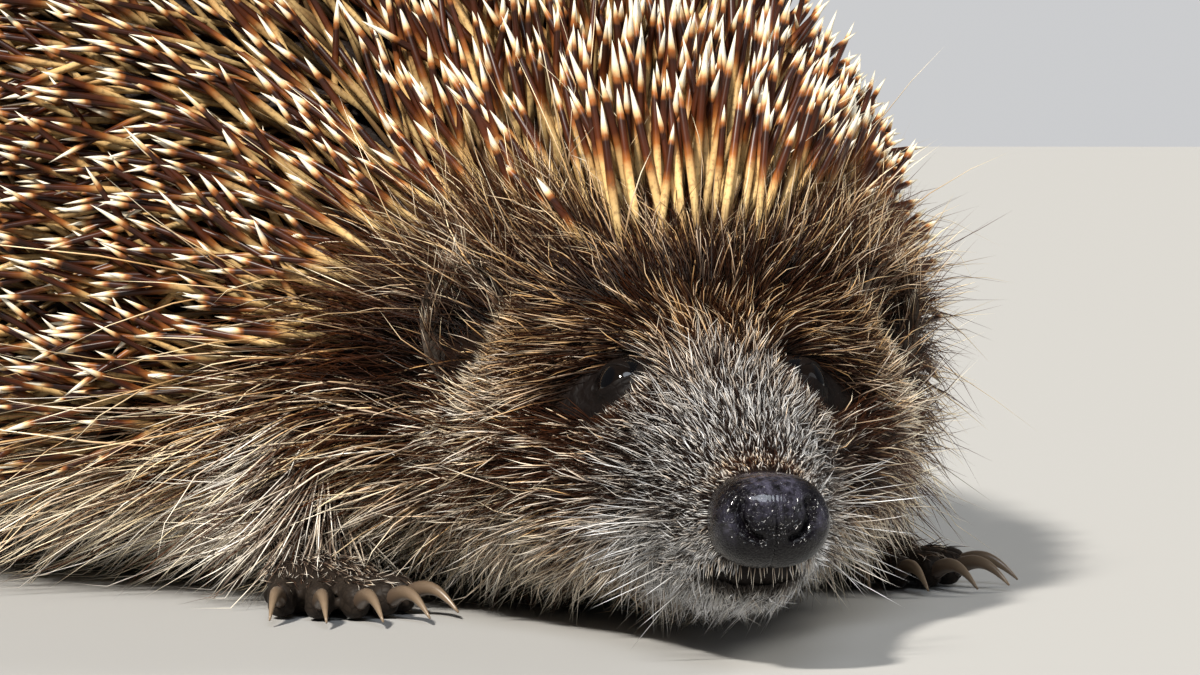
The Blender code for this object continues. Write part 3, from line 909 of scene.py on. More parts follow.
def joined(shells: Sequence[Shell]) -> Shell:
    """Several shells as one.

    Args:
        shells: the shells.

    Returns:
        One shell, with a 0 wherever one of them lacks a number that another has.
    """
    names = {name for shell in shells for name in shell.numbers}
    starts = np.cumsum([0] + [len(shell.points) for shell in shells[:-1]])
    points = np.concatenate([shell.points for shell in shells])
    faces = np.concatenate([shell.faces + start for shell, start in zip(shells, starts)])
    numbers = {
        name: np.concatenate([s.numbers.get(name, np.zeros(len(s.points))) for s in shells])
        for name in names
    }
    return Shell(points, faces, numbers)


def make_mesh(
    name: str, points: Array, corner_vertices: Array, face_starts: Array, numbers: dict[str, Array]
) -> Mesh:
    """Writes arrays into a smooth mesh.

    Args:
        name: the mesh's name.
        points: the places of its vertices.
        corner_vertices: the vertex at each face corner, face after face.
        face_starts: where each face's corners start.
        numbers: a value at each vertex, by name.

    Returns:
        The mesh.
    """
    mesh = bpy.data.meshes.new(name)
    mesh.vertices.add(len(points))
    mesh.vertices.foreach_set("co", points.astype(np.float32).ravel())
    mesh.loops.add(len(corner_vertices))
    mesh.loops.foreach_set("vertex_index", corner_vertices.astype(np.int32))
    mesh.polygons.add(len(face_starts))
    mesh.polygons.foreach_set("loop_start", face_starts.astype(np.int32))
    mesh.update(calc_edges=True)
    mesh.shade_smooth()
    for label, values in numbers.items():
        layer = mesh.attributes.new(label, "FLOAT", "POINT")
        layer.data.foreach_set("value", values.astype(np.float32))
    return mesh


def mesh_of_shell(name: str, shell: Shell) -> Mesh:
    """A smooth mesh of a shell."""
    starts = np.arange(len(shell.faces)) * 4
    return make_mesh(name, shell.points, shell.faces.ravel(), starts, shell.numbers)


def in_scene(name: str, data: bpy.types.ID) -> Object:
    """Puts a mesh, a lamp or a camera into the scene.

    Args:
        name: the object's name.
        data: what it shows.

    Returns:
        The object.
    """
    made = bpy.data.objects.new(name, data)
    bpy.context.scene.collection.objects.link(made)
    return made


def add_piece(
    name: str, mesh: Mesh, material: Material, slot: str, stands_for: Sequence[str] = ()
) -> None:
    """Puts a piece of the animal into the scene.

    Args:
        name: the piece's name.
        mesh: its mesh, already in the frame.
        material: its finish.
        slot: the record's slot; not used.
        stands_for: the solids that it replaces.
    """
    piece = in_scene(name, mesh)
    mesh.materials.append(material)
    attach(piece, "root")
    if stands_for:
        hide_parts(*stands_for)
    log.info("%s: %d faces", name, len(mesh.polygons))


# -------- where hairs root


@dataclass
class Roots:
    """Places on the skin where strands grow, one row for each."""

    place: Array  # the points
    normal: Array  # the skin's outward directions there
    rear: Array  # the directions along the skin towards the tail
    along: Array  # the places along the spine line
    out: Array  # the distances out to the left
    height: Array  # the heights
    unwrap: Array  # the places on the flat unwrap of the skin

    def __len__(self) -> int:
        """How many roots there are."""
        return len(self.place)

    def pick(self, chosen: Array) -> "Roots":
        """Only the chosen rows, given as numbers or as true and false."""
        return Roots(*(getattr(self, f)[chosen] for f in self.__dataclass_fields__))

    def spaced(self, gap: float | Array) -> "Roots":
        """Leaves out each root that stands too close to an earlier one.

        Args:
            gap: the least distance, for all or for each.

        Returns:
            The roots that stay.
        """
        gaps = np.broadcast_to(gap, len(self))
        cell = float(gaps.max())
        keys = np.floor(self.place / cell).astype(int)
        cells: dict[tuple[int, int, int], list[int]] = {}
        kept = []
        around = [(i, j, k) for i in (-1, 0, 1) for j in (-1, 0, 1) for k in (-1, 0, 1)]
        places = self.place.tolist()
        for row, (i, j, k) in enumerate(keys.tolist()):
            x, y, z = places[row]
            limit = float(gaps[row]) ** 2
            near = (other for a, b, c in around for other in cells.get((i + a, j + b, k + c), ()))
            if all(
                (x - places[o][0]) ** 2 + (y - places[o][1]) ** 2 + (z - places[o][2]) ** 2 > limit
                for o in near
            ):
                cells.setdefault((i, j, k), []).append(row)
                kept.append(row)
        return self.pick(np.array(kept, dtype=int))


# -------- strands


@dataclass(frozen=True)
class StrandShape:
    """The cross-section of a strand from root to tip."""

    sides: int  # how many sides it has
    # the places of its rings, from 0 at the root to under 1; the tip itself is a point
    levels: tuple[float, ...]
    widths: tuple[float, ...]  # the share of its full radius at each ring

    def triangles(self) -> int:
        """How many triangles one strand takes."""
        return self.sides * (2 * (len(self.levels) - 1) + 1)


@dataclass
class Strands:
    """Many strands alike, as arrays with one row for each."""

    roots: Roots  # where they grow
    lean: Array  # their direction at the root
    bend: Array  # how far the tip is carried aside, in lengths of the strand
    length: Array
    radius: Array
    numbers: dict[str, Array]  # a value for each strand, by name

    def pick(self, chosen: Array) -> "Strands":
        """Only the chosen strands."""
        rows = (getattr(self, label)[chosen] for label in ("lean", "bend", "length", "radius"))
        return Strands(self.roots.pick(chosen), *rows, {k: v[chosen] for k, v in self.numbers.items()})

    def tips(self) -> Array:
        """Where their tips are."""
        return self.roots.place + (self.lean + self.bend) * self.length[:, None]

    def gather(self, guides: int, pull: float) -> None:
        """Draws the tips together in locks.

        Args:
            guides: how many locks there are.
            pull: the share of the way that a tip is drawn to the middle of its lock.
        """
        chosen = rng.choice(len(self.roots), size=min(guides, len(self.roots)), replace=False)
        tree = KDTree(len(chosen))
        for number, row in enumerate(chosen):
            tree.insert(self.roots.place[row], number)
        tree.balance()
        nearest = np.array([chosen[tree.find(place)[1]] for place in self.roots.place])
        tips = self.tips()
        share = self.length / np.maximum(self.length[nearest], 1e-6)
        goal = self.roots.place[nearest] + (tips[nearest] - self.roots.place[nearest]) * share[:, None]
        strength = pull * rng.uniform(0.5, 1.3, len(self.roots))[:, None]
        self.bend = self.bend + (goal - tips) * strength / self.length[:, None]

    def mesh(self, name: str, shape: StrandShape) -> Mesh:
        """Builds one mesh of them all.

        Args:
            name: the mesh's name.
            shape: their cross-section.

        Returns:
            A mesh with each strand a closed tapering tube, and its unwrap.
        """
        count, sides = len(self.roots), shape.sides
        levels = np.array((*shape.levels, 1.0))
        rings = len(shape.levels)
        reach = self.length[:, None, None]
        t = levels[None, :, None]
        centres = self.roots.place[:, None] + reach * (self.lean[:, None] * t + self.bend[:, None] * t**2)
        centres[..., 2] = np.maximum(centres[..., 2], FLOOR_CLEARANCE + self.radius[:, None])
        ahead = unit(self.lean[:, None] + 2 * t * self.bend[:, None])
        aside = unit(np.cross(self.lean, unit(rng.normal(size=(count, 3)))))[:, None]
        first = unit(aside - ahead * dot(aside, ahead))
        second = np.cross(ahead, first)
        angles = 2 * math.pi * np.arange(sides) / sides
        widths = np.array(shape.widths)[None, :] * self.radius[:, None]
        around = (
            first[:, :rings, None] * np.cos(angles)[:, None]
            + second[:, :rings, None] * np.sin(angles)[:, None]
        )
        tube = centres[:, :rings, None] + around * widths[..., None, None]
        per_strand = rings * sides + 1
        points = np.concatenate((tube.reshape(count, -1, 3), centres[:, rings:]), axis=1)
        along = np.concatenate((np.repeat(levels[:rings], sides), [1.0]))
        numbers = {"along": np.tile(along, count)}
        for label, values in self.numbers.items():
            numbers[label] = np.repeat(values, per_strand)
        corners, sizes, local = strand_faces(rings, sides)
        starts = np.arange(count)[:, None] * per_strand
        corner_vertices = (corners[None] + starts).ravel()
        face_sizes = np.tile(sizes, count)
        face_starts = np.concatenate(([0], np.cumsum(face_sizes)[:-1]))
        mesh = make_mesh(name, points.reshape(-1, 3), corner_vertices, face_starts, numbers)
        self.write_unwrap(mesh, local, levels)
        return mesh

    def write_unwrap(self, mesh: Mesh, local: Array, levels: Array) -> None:
        """Gives each strand a small patch at its root's place on the unwrap of the skin.

        Args:
            mesh: the mesh of all the strands.
            local: for each face corner of one strand, its share across and its level's number.
            levels: the places of the rings and of the tip.
        """
        flat = self.roots.unwrap
        low, high = flat.min(axis=0), flat.max(axis=0)
        spread = (flat - low) / np.maximum(high - low, 1e-6) * (1 - 2 * UNWRAP_PATCH) + UNWRAP_PATCH
        patch = np.stack((local[:, 0] - 0.5, levels[local[:, 1].astype(int)] - 0.5), axis=-1)
        values = spread[:, None] + patch[None] * UNWRAP_PATCH
        layer = mesh.uv_layers.new(name=UNWRAP_NAME)
        layer.data.foreach_set("uv", values.astype(np.float32).ravel())


def strand_faces(rings: int, sides: int) -> tuple[Array, Array, Array]:
    """The faces of one strand.

    Args:
        rings: how many rings it has.
        sides: how many sides.

    Returns:
        The vertex at each corner, the corners in each face, and for each corner its share across the
        strand's patch and the number of its level.
    """
    corners, sizes, local = [], [], []
    for ring, side in np.ndindex(rings, sides):
        low, high, after = ring * sides, (ring + 1) * sides, (side + 1) % sides
        start, end = side / sides, (side + 1) / sides
        corners += [low + side, low + after]
        local += [(start, ring), (end, ring)]
        if ring == rings - 1:
            corners += [high]
            local += [((side + 0.5) / sides, rings)]
        else:
            corners += [high + after, high + side]
            local += [(end, ring + 1), (start, ring + 1)]
        sizes.append(3 if ring == rings - 1 else 4)
    return np.array(corners), np.array(sizes), np.array(local)


# -------- the skin of head and body


@dataclass
class EyeFrame:
    """Where an eye sits and how its slit lies."""

    form: BodyForm
    side: Side
    # the eye's axis as out, rear and up, before it is turned to its side
    facing: Triple = (0.8, -0.45, 0.38)
    slant: float = math.radians(27)  # how far the inner corner is raised
    sunk: float = 0.00133  # how much deeper the eyeball lies than the solid one
    radius: float = 0.0028  # the eyeball's radius
    # half the length and half the height of the opening between the lids
    slit: Pair = (0.0021, 0.00095)
    # half the length and half the height of the naked patch round it
    bare: Pair = (0.0057, 0.0028)

    def __post_init__(self) -> None:
        """Works out the eye's centre and axes."""
        low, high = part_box(f"eye_{self.side.name.lower()}")
        left, rear, up = self.form.axes(self.form.eye[0])
        out = left * self.side.value
        a, b, c = self.facing
        self.axis = unit(out * a + rear * b + up * c)
        self.centre = (np.array(low) + np.array(high)) / 2 - self.axis * self.sunk
        level = unit(np.cross(up, self.axis)) * -self.side.value
        upward = unit(up - self.axis * float(up @ self.axis))
        self.inward = unit(level * math.cos(self.slant) + upward * math.sin(self.slant))
        self.upward = unit(np.cross(self.axis, self.inward))
        if self.upward @ up < 0:
            self.upward = -self.upward

    def flat(self, points: Array) -> tuple[Array, Array]:
        """Places seen along the eye's axis: towards the inner corner, and upwards."""
        offset = points - self.centre
        return offset @ self.inward, offset @ self.upward

    def near(self, points: Array) -> Array:
        """True for points on the eye's own side of the head."""
        return (points - self.centre) @ self.axis > -0.003

    def naked(self, points: Array) -> Array:
        """Where the skin round the eye is bare.

        Args:
            points: points in the frame.

        Returns:
            1 inside the bare patch, 0 well outside it.
        """
        x, y = self.flat(points)
        long, high = self.bare
        ring = np.sqrt(((x + 0.0005) / long) ** 2 + ((y + 0.0008) / high) ** 2)
        return step(ring, 1.15, 0.8) * self.near(points)


@dataclass
class Hide:
    """The skin of head and trunk, drawn ring by ring from the muzzle's end to the rump."""

    form: BodyForm
    markings: Markings
    columns: int = 168  # how many points go round
    face_step: float = 0.0005  # the distance between rings on the face
    trunk_step: float = 0.0026  # the distance between rings on the trunk
    # the line between the lips, as (along, height)
    mouth: Line = ((0.0, 0.0088), (0.01, 0.0087), (0.03, 0.0104))
    mouth_depth: float = 0.0022  # how deep the gap between the lips is
    mouth_gap: float = 0.001  # half the height of the gap

    def __post_init__(self) -> None:
        """Fixes the rings' places."""
        self.eyes = [EyeFrame(self.form, side) for side in Side]
        self.start = self.form.stations[0].along
        self.end = self.form.stations[-1].along
        places, here = [self.start], self.start
        while here < self.end - 0.0005:
            grown = step(here, 0.045, 0.085)
            edge = step(here, self.end - 0.012, self.end)
            gap = self.face_step + (self.trunk_step - self.face_step) * grown * (1 - 0.7 * edge)
            here = min(here + gap, self.end)
            places.append(here)
        self.rings = np.array(places)
        self.turns = np.linspace(-math.pi / 2, 1.5 * math.pi, self.columns, endpoint=False)

    def surface(self, along: Array, turn: Array) -> tuple[Array, Array, Array]:
        """Points of the smooth skin.

        Args:
            along: places along the spine line.
            turn: angles round the body.

        Returns:
            The points, how far out to the left they lie, and their heights.
        """
        out, height = self.form.section(along, turn)
        brow = bump_at(along, 0.0262, 0.0045) * bump_at(height, 0.0275, 0.003)
        cheek = bump_at(along, 0.035, 0.006) * bump_at(height, 0.015, 0.0045)
        out = out * (1 + 0.075 * brow + 0.04 * cheek)
        return self.form.place(along, out, height), out, height

    def roots_at(self, along: Array, turn: Array) -> Roots:
        """Everything a strand needs to know of its root.

        Args:
            along: places along the spine line.
            turn: angles round the body.

        Returns:
            The roots, on the smooth skin.
        """
        small, little = 2e-4, 4e-3
        place, out, height = self.surface(along, turn)
        rear = self.surface(along + small, turn)[0] - self.surface(along - small, turn)[0]
        across = self.surface(along, turn + little)[0] - self.surface(along, turn - little)[0]
        rear, across = unit(rear), unit(across)
        normal = unit(np.cross(rear, across))
        u = (along - self.start) / (self.end - self.start)
        v = (turn + math.pi / 2) / (2 * math.pi)
        return Roots(place, normal, rear, along, out, height, np.stack((u, v), axis=-1))

    def scatter(self, count: int, weight: Callable[[Roots], Array]) -> Roots:
        """Spreads roots over the skin.

        Args:
            count: how many.
            weight: how dense they stand at a place.

        Returns:
            The roots.
        """
        rows = np.arange(len(self.rings) - 1)
        row, column = (a.ravel() for a in np.meshgrid(rows, np.arange(self.columns), indexing="ij"))
        size = np.diff(self.rings)[row]
        wide = 2 * math.pi / self.columns
        middle_along = self.rings[row] + size / 2
        middle_turn = self.turns[column] + wide / 2
        centre = self.roots_at(middle_along, middle_turn)
        ahead = self.surface(middle_along + size / 2, middle_turn)[0] - centre.place
        aside = self.surface(middle_along, middle_turn + wide / 2)[0] - centre.place
        area = np.linalg.norm(np.cross(ahead, aside), axis=-1)
        chance = area * np.maximum(weight(centre), 0.0)
        if chance.sum() <= 0:
            return centre.pick(np.zeros(0, dtype=int))
        cell = rng.choice(len(chance), size=count, p=chance / chance.sum())
        along = self.rings[row[cell]] + size[cell] * rng.random(count)
        turn = self.turns[column[cell]] + wide * rng.random(count)
        return self.roots_at(along, turn)

    def lips(self, roots: Roots) -> Array:
        """The gap between the lips.

        Args:
            roots: the places.

        Returns:
            Its depth at each place, as a share of the greatest.
        """
        line = np.interp(roots.along, *zip(*self.mouth))
        reach = 0.25 * step(roots.along, 0.028, 0.02) + 0.75 * step(roots.along, 0.0105, 0.007)
        return reach * bump_at(roots.height, line, self.mouth_gap * (0.35 + 0.65 * reach))

    def around_eye(self, points: Array) -> Array:
        """How the skin is pressed in under the eyelids.

        Args:
            points: points in the frame.

        Returns:
            The depth at each.
        """
        depth = np.zeros(points.shape[:-1])
        for eye in self.eyes:
            x, y = eye.flat(points)
            away = np.sqrt(x**2 + y**2)
            depth = np.maximum(depth, 0.003 * step(away, 0.0044, 0.0026) * eye.near(points))
        return depth

    def naked(self, points: Array) -> Array:
        """1 where the skin round the eyes is bare."""
        return np.maximum(*(eye.naked(points) for eye in self.eyes))

    def shell(self) -> Shell:
        """The skin with its mouth and eye hollows, closed at both ends.

        Returns:
            The shell, with the numbers its finish reads.
        """
        along, turn = np.meshgrid(self.rings, self.turns, indexing="ij")
        roots = self.roots_at(along, turn)
        lip = self.lips(roots)
        depth = self.mouth_depth * lip + self.around_eye(roots.place)
        points = roots.place - roots.normal * depth[..., None]
        # the skin is made black under the spines: painted shade in the gaps between them
        spine_shade = step(self.markings.above_edge(roots), -0.001, 0.002)
        pale = self.markings.pale(roots) * (1 - spine_shade)
        warm = self.markings.warm(roots)
        bare = np.maximum(self.naked(roots.place), np.clip(lip * 2.5, 0, 1))
        front = self.dome(points[0], self.start, -0.0012)[::-1]
        rear = self.dome(points[-1], self.end, 0.003)
        grids = {"pale": pale, "warm": warm, "bare": bare}
        rows = ((len(front), len(rear)), (0, 0))
        grids = {name: np.pad(grid, rows, mode="edge") for name, grid in grids.items()}
        return Shell.grid(np.concatenate((front, points, rear)), thin=0.0, **grids)

    def dome(self, ring: Array, along: float, rise: float) -> Array:
        """Closes an end of the skin.

        Args:
            ring: its last ring.
            along: its place along the spine line.
            rise: how far the dome stands out, below zero where that is to the front.

        Returns:
            The dome's rings, smaller and smaller.
        """
        middle = ring.mean(axis=0)
        shares = np.array((0.9, 0.75, 0.5, 0.25, 0.003))[:, None, None]
        ahead = self.form.axes(along)[1] * rise
        return middle + (ring - middle) * shares + ahead * np.sqrt(1 - shares**2)


@dataclass
class Eyelids:
    """The lids of one eye: a round patch of skin that closes over the eyeball but for a slit."""

    eye: EyeFrame
    thickness: float = 0.00022  # how far the lids stand over the eyeball
    reach: float = 0.0062  # where the patch ends, outside the hollow it covers
    rings: int = 46  # how many rings it has
    spokes: int = 96  # how many points go round

    def opening(self, angle: Array) -> Array:
        """The edge of the slit: an almond with pointed corners.

        Args:
            angle: directions from the eye's middle.

        Returns:
            How far the slit reaches in each.
        """
        long, high = self.eye.slit
        share = np.abs(np.cos(angle))
        low = np.where(np.sin(angle) > 0, 1.0, 0.8)
        round_part = 1.0 / np.sqrt((np.cos(angle) / long) ** 2 + (np.sin(angle) / (high * low)) ** 2)
        return round_part * (1 - 0.1 * bump_at(share, 0.8, 0.15))

    def shell(self, skin: BVHTree) -> Shell:
        """Builds the patch.

        Args:
            skin: the smooth skin, without the hollow under the lids.

        Returns:
            The patch, whose outer edge dips just under the skin.
        """
        eye = self.eye
        angle = np.linspace(0, 2 * math.pi, self.spokes, endpoint=False)[None, :]
        share = np.linspace(0, 1, self.rings)[:, None] ** 1.5
        inner = self.opening(angle)
        away = inner + (self.reach - inner) * share
        x, y = away * np.cos(angle), away * np.sin(angle)
        flat = eye.centre + x[..., None] * eye.inward + y[..., None] * eye.upward
        base = self.drop(skin, flat)
        lid = eye.radius + self.thickness
        dome = np.sqrt(np.maximum(lid**2 - away**2, 0.0)) - 0.0022 * step(away, 0.0015, 0.004)
        soft = 0.0004
        height = soft * np.logaddexp(base / soft, dome / soft)
        height = height + self.folds(x, y)
        margin = step(away - inner, 0.00035, 0.0)
        ball = np.sqrt(np.maximum(eye.radius**2 - away**2, 0.0))
        height = height * (1 - margin) + (ball - 0.00005) * margin
        height = np.where(share > 0.97, base - 0.00025, height)
        points = flat + height[..., None] * eye.axis
        points = np.concatenate((points[:1] - eye.axis * 0.0006, points))
        shell = Shell.grid(points, bare=eye.naked(points), pale=0.12, warm=0.6, thin=0.0)
        ahead = np.cross(eye.inward, eye.upward) @ eye.axis
        return shell if ahead > 0 else shell.turned()

    def drop(self, skin: BVHTree, flat: Array) -> Array:
        """Finds the smooth skin over the eye.

        Args:
            skin: the skin.
            flat: places in the plane through the eye's middle.

        Returns:
            How high the skin lies over each, along the eye's axis.
        """
        axis = Vector(self.eye.axis)
        heights = np.zeros(flat.shape[:-1])
        for index in np.ndindex(heights.shape):
            start = Vector(flat[index]) + axis * 0.02
            hit = skin.ray_cast(start, -axis, 0.04)
            heights[index] = 0.02 - hit[3] if hit[3] is not None else -0.004
        return heights

    def folds(self, x: Array, y: Array) -> Array:
        """Creases that follow the lids.

        Args:
            x: places towards the inner corner.
            y: places upwards.

        Returns:
            How far each is raised.
        """
        long, high = self.eye.slit
        ring = np.sqrt((x / long) ** 2 + (y / high) ** 2)
        waves = np.sin(ring * 6.0 + 1.5 * np.sin(x * 900.0))
        return 0.00005 * waves * step(ring, 1.2, 1.8) * step(ring, 4.5, 3.0)


@dataclass
class Eyes:
    """Both eyeballs."""

    frames: Sequence[EyeFrame]
    finish: EyeFinish = EyeFinish()

    def build(self) -> None:
        """Makes a smooth ball with a slightly raised cornea for each eye."""
        for frame in self.frames:
            name = f"eye_{frame.side.name.lower()}"
            mesh = mesh_of_shell(f"{name}_ball", self.eyeball(frame))
            add_piece(f"{name}_ball", mesh, self.finish.material(), "eye", [name])

    def eyeball(self, frame: EyeFrame) -> Shell:
        """One eyeball, its pole on the eye's axis.

        Args:
            frame: where it sits.

        Returns:
            The ball, with its iris numbers.
        """
        polar, points = ball(40, 56, 0.004)
        swell = 1 + 0.045 * np.exp(-((polar / 0.75) ** 4))
        basis = np.array((frame.inward, np.cross(frame.axis, frame.inward), frame.axis))
        points = frame.centre + frame.radius * swell[..., None] * points @ basis
        iris = step(polar, 0.36, 0.42) * step(polar, 0.86, 0.8)
        return Shell.grid(points, iris=iris)


# -------- nose


@dataclass
class Nose:
    """The bare wet nose pad, with comma nostrils, lobes and fine upright wrinkles."""

    form: BodyForm
    along: float = 0.003  # how far back its centre lies
    height: float = 0.0135  # how high its centre lies
    size: Triple = (0.01, 0.0096, 0.0082)  # across, along and high
    # the line of the right side's nostril on the front: out and up from the centre
    nostril: Line = (
        (0.0029, 0.0019),
        (0.0032, 0.0011),
        (0.00312, 0.00025),
        (0.00275, -0.0005),
        (0.00215, -0.00105),
        (0.00145, -0.0013),
    )
    wrinkles: Line = (  # how far out each upright wrinkle runs, and its depth
        (0.0, 0.0002),
        (0.00034, 0.00009),
        (0.00066, 0.00012),
        (0.001, 0.00008),
        (0.00136, 0.00006),
    )
    finish: NoseFinish = NoseFinish()

    def build(self) -> None:
        """Makes the nose."""
        mesh = mesh_of_shell("nose_pad", self.shell())
        add_piece("nose_pad", mesh, self.finish.material(), "nose", ["nose"])

    def shell(self) -> Shell:
        """Presses a dense ball into the nose's shape.

        Returns:
            The shell, its poles at the front and rear.
        """
        x, z, y = np.moveaxis(ball(190, 230, 0.004)[1], -1, 0)
        points = np.stack((x, -y, z), axis=-1)
        half = np.array(self.size) / 2
        squared = 1.0 / (np.abs(points) ** 2.5).sum(axis=-1) ** (1 / 2.5)
        normal = unit(points / half)
        points = points * squared[..., None] * half
        points = points + normal * self.relief(points)[..., None]
        centre = self.form.place(self.along, 0.0, self.height)
        placed = centre + points @ np.array(self.form.axes(self.along))
        wide, high = np.abs(points[..., 0]), points[..., 2]
        # the mask of the top and the lobes, which carries the finish's painted sheen as well as its coat
        shine = step(high, -0.0006, 0.0024) * step(wide, 0.0034, 0.0012)
        lobes = bump_at(wide, 0.0041, 0.0009) * bump_at(high, 0.0002, 0.0016)
        return Shell.grid(placed, upper=np.maximum(shine, 0.7 * lobes)).turned()

    def relief(self, points: Array) -> Array:
        """The nose's lobes, nostrils and wrinkles.

        Args:
            points: points of the smooth pad, from its centre.

        Returns:
            How far each is raised, or pressed in below zero.
        """
        x, y, z = (points[..., i] for i in range(3))
        wide = np.abs(x)
        front = step(y, 0.0004, -0.0022)
        line = np.array(self.nostril)
        nearest = self.distance(wide, z, line)
        slit = -0.0007 * np.exp(-((nearest / 0.0003) ** 2))
        well = -0.00035 * bump_at(wide, 0.003, 0.0006) * bump_at(z, -0.0001, 0.00075)
        lobe = 0.00055 * bump_at(wide, 0.0043, 0.00075) * bump_at(z, -0.00005, 0.0017)
        lip = 0.00005 * bump_at(nearest, 0.00075, 0.00025)
        folds = sum(
            -depth * bump_at(wide, place, 0.0001) * bump_at(z, -0.0001, 0.0015)
            for place, depth in self.wrinkles
        )
        cleft = -0.00018 * bump_at(x, 0.0, 0.00022) * step(z, -0.001, -0.0026)
        dimple = -0.00014 * bump_at(wide, 0.00235, 0.0006) * bump_at(z, 0.0012, 0.0009)
        return front * (slit + well + lobe + lip + folds + dimple) + cleft

    @staticmethod
    def distance(x: Array, z: Array, line: Array) -> Array:
        """How far places are from a bent line.

        Args:
            x: places aside.
            z: places upwards.
            line: the line's points.

        Returns:
            The distance of each.
        """
        best = np.full(x.shape, 1.0)
        for start, end in zip(line[:-1], line[1:]):
            run = end - start
            share = np.clip(((x - start[0]) * run[0] + (z - start[1]) * run[1]) / (run @ run), 0, 1)
            gap = np.hypot(x - start[0] - share * run[0], z - start[1] - share * run[1])
            best = np.minimum(best, gap)
        return best


# -------- ears


@dataclass
class Ear:
    """One round cupped ear with a soft thick rim."""

    form: BodyForm
    side: Side
    root: Triple = (0.0462, 0.0192, 0.0225)  # where its root lies: along, out and up
    width: float = 0.0104  # its greatest width
    length: float = 0.0118  # from root to tip
    cup: float = 0.003  # how hollow it is
    thickness: float = 0.001  # of its wall near the middle
    turn: float = math.radians(46)  # how far its hollow faces to the side
    tilt: float = math.radians(12)  # how far its tip leans out

    def axes(self) -> tuple[Array, Array]:
        """Where the ear stands.

        Returns:
            Its origin, and its axes as the rows of a matrix: across, back and up.
        """
        along, out, height = self.root
        side = self.side.value
        origin = self.form.place(along, side * out, height)
        left, rear, up = self.form.axes(along)
        spin = Matrix.Rotation(side * self.turn, 3, "Z") @ Matrix.Rotation(side * self.tilt, 3, "Y")
        basis = np.array((left, rear, up))
        return origin, np.array(spin).T @ basis

    def hollow(self) -> Array:
        """The middle of the ear's opening."""
        origin, basis = self.axes()
        return origin + np.array((0.0, 0.0002, self.length * 0.45)) @ basis

    def dish(self, across: Array, up: Array) -> Array:
        """The middle surface of the wall.

        Args:
            across: places from one edge at -1 to the other at 1.
            up: places from the root at 0 to the tip at 1.

        Returns:
            Its points, in the ear's own axes.
        """
        root_share = step(up, -0.25, 0.35)
        low = 0.62 + 0.38 * root_share
        high = np.sqrt(np.maximum(1 - (np.maximum(up - 0.48, 0.0) / 0.52) ** 2.2, 0.0))
        outline = low * high
        curl = -0.0007 * np.abs(across) ** 6 * step(up, 0.1, 0.4)
        ridge = 0.00035 * bump_at(across, -0.35, 0.16) * step(up, 0.9, 0.5)
        ridge = ridge + 0.0003 * bump_at(across, 0.3, 0.14) * step(up, 0.8, 0.4)
        depth = self.cup * (1 - across**2) * np.sin(math.pi * np.clip(0.16 + 0.74 * up, 0, 1))
        depth = depth + curl - ridge
        wide, deep, high = across * outline * self.width / 2, depth, up * self.length
        return np.stack(np.broadcast_arrays(wide, deep, high), axis=-1)

    def shell(self) -> Shell:
        """The ear's wall, closed round its rim, its root deep in the coat.

        Returns:
            The shell.
        """
        steps = 26
        up = 1 - (1 - np.linspace(0, 1, 44)) ** 1.35
        up = (-0.28 + 1.28 * up)[:, None]
        front = -np.cos(np.linspace(0, math.pi, steps))
        across = np.concatenate((front, front[::-1]))[None, :]
        face = np.concatenate((-np.ones(steps), np.ones(steps)))[None, :]
        du, dv = self.slopes(across, up)
        normal = unit(np.cross(dv, du) + np.array((0.0, 1e-9, 0.0)))
        wall = self.thickness * np.sqrt(np.maximum(1 - np.abs(across) ** 5, 0.0))
        wall = wall * (0.42 + 0.58 * step(up, 1.0, 0.1))
        wall = wall * np.sqrt(np.maximum(1 - np.maximum(up, 0) ** 8, 0))
        points = self.dish(across, up) + normal * (face * wall / 2)[..., None]
        origin, basis = self.axes()
        placed = origin + points @ basis
        rim = np.maximum(np.abs(across) ** 6, np.clip(up, 0, 1) ** 6)
        # paler towards the rim, and darker on the inner face of the cup as painted shade
        thin = np.clip(0.45 + 0.55 * rim - 0.35 * (face < 0) * (1 - rim), 0, 1)
        return Shell.grid(placed, bare=1.0, thin=thin, pale=0.3, warm=0.4)

    def slopes(self, across: Array, up: Array) -> tuple[Array, Array]:
        """The middle surface's slopes across and up.

        Args:
            across: places from one edge at -1 to the other at 1.
            up: places from the root at 0 to the tip at 1.

        Returns:
            The steps over the surface, in the ear's own axes.
        """
        d = 1e-3
        aside = self.dish(across + d, up) - self.dish(across - d, up)
        return aside, self.dish(across, up + d) - self.dish(across, up - d)

    def roots(self, count: int, rim_only: bool) -> Roots:
        """Roots of hairs on the ear.

        Args:
            count: how many.
            rim_only: whether they all stand at the rim, or else over the back and inside.

        Returns:
            The roots, whose rear direction runs up the ear.
        """
        across = rng.uniform(-1, 1, count)
        up = rng.uniform(0.05, 0.97, count)
        if rim_only:
            angle = rng.uniform(0.0, math.pi, count)
            across = np.cos(angle) * rng.uniform(0.85, 1.0, count)
            up = 0.45 + 0.53 * np.sin(angle) * rng.uniform(0.9, 1.0, count)
        face = np.where(rng.random(count) < 0.55, 1.0, -1.0)
        du, dv = self.slopes(across, up)
        normal = unit(np.cross(dv, du)) * face[:, None]
        origin, basis = self.axes()
        place = origin + (self.dish(across, up) + normal * self.thickness * 0.3) @ basis
        along, out = np.full(count, self.root[0]), np.full(count, self.side.value * self.root[1])
        unwrap = np.stack((across * 0.5 + 0.5, up), axis=-1)
        return Roots(place, unit(normal @ basis), unit(dv @ basis), along, out, place[:, 2], unwrap)


# -------- legs, feet, claws and tail


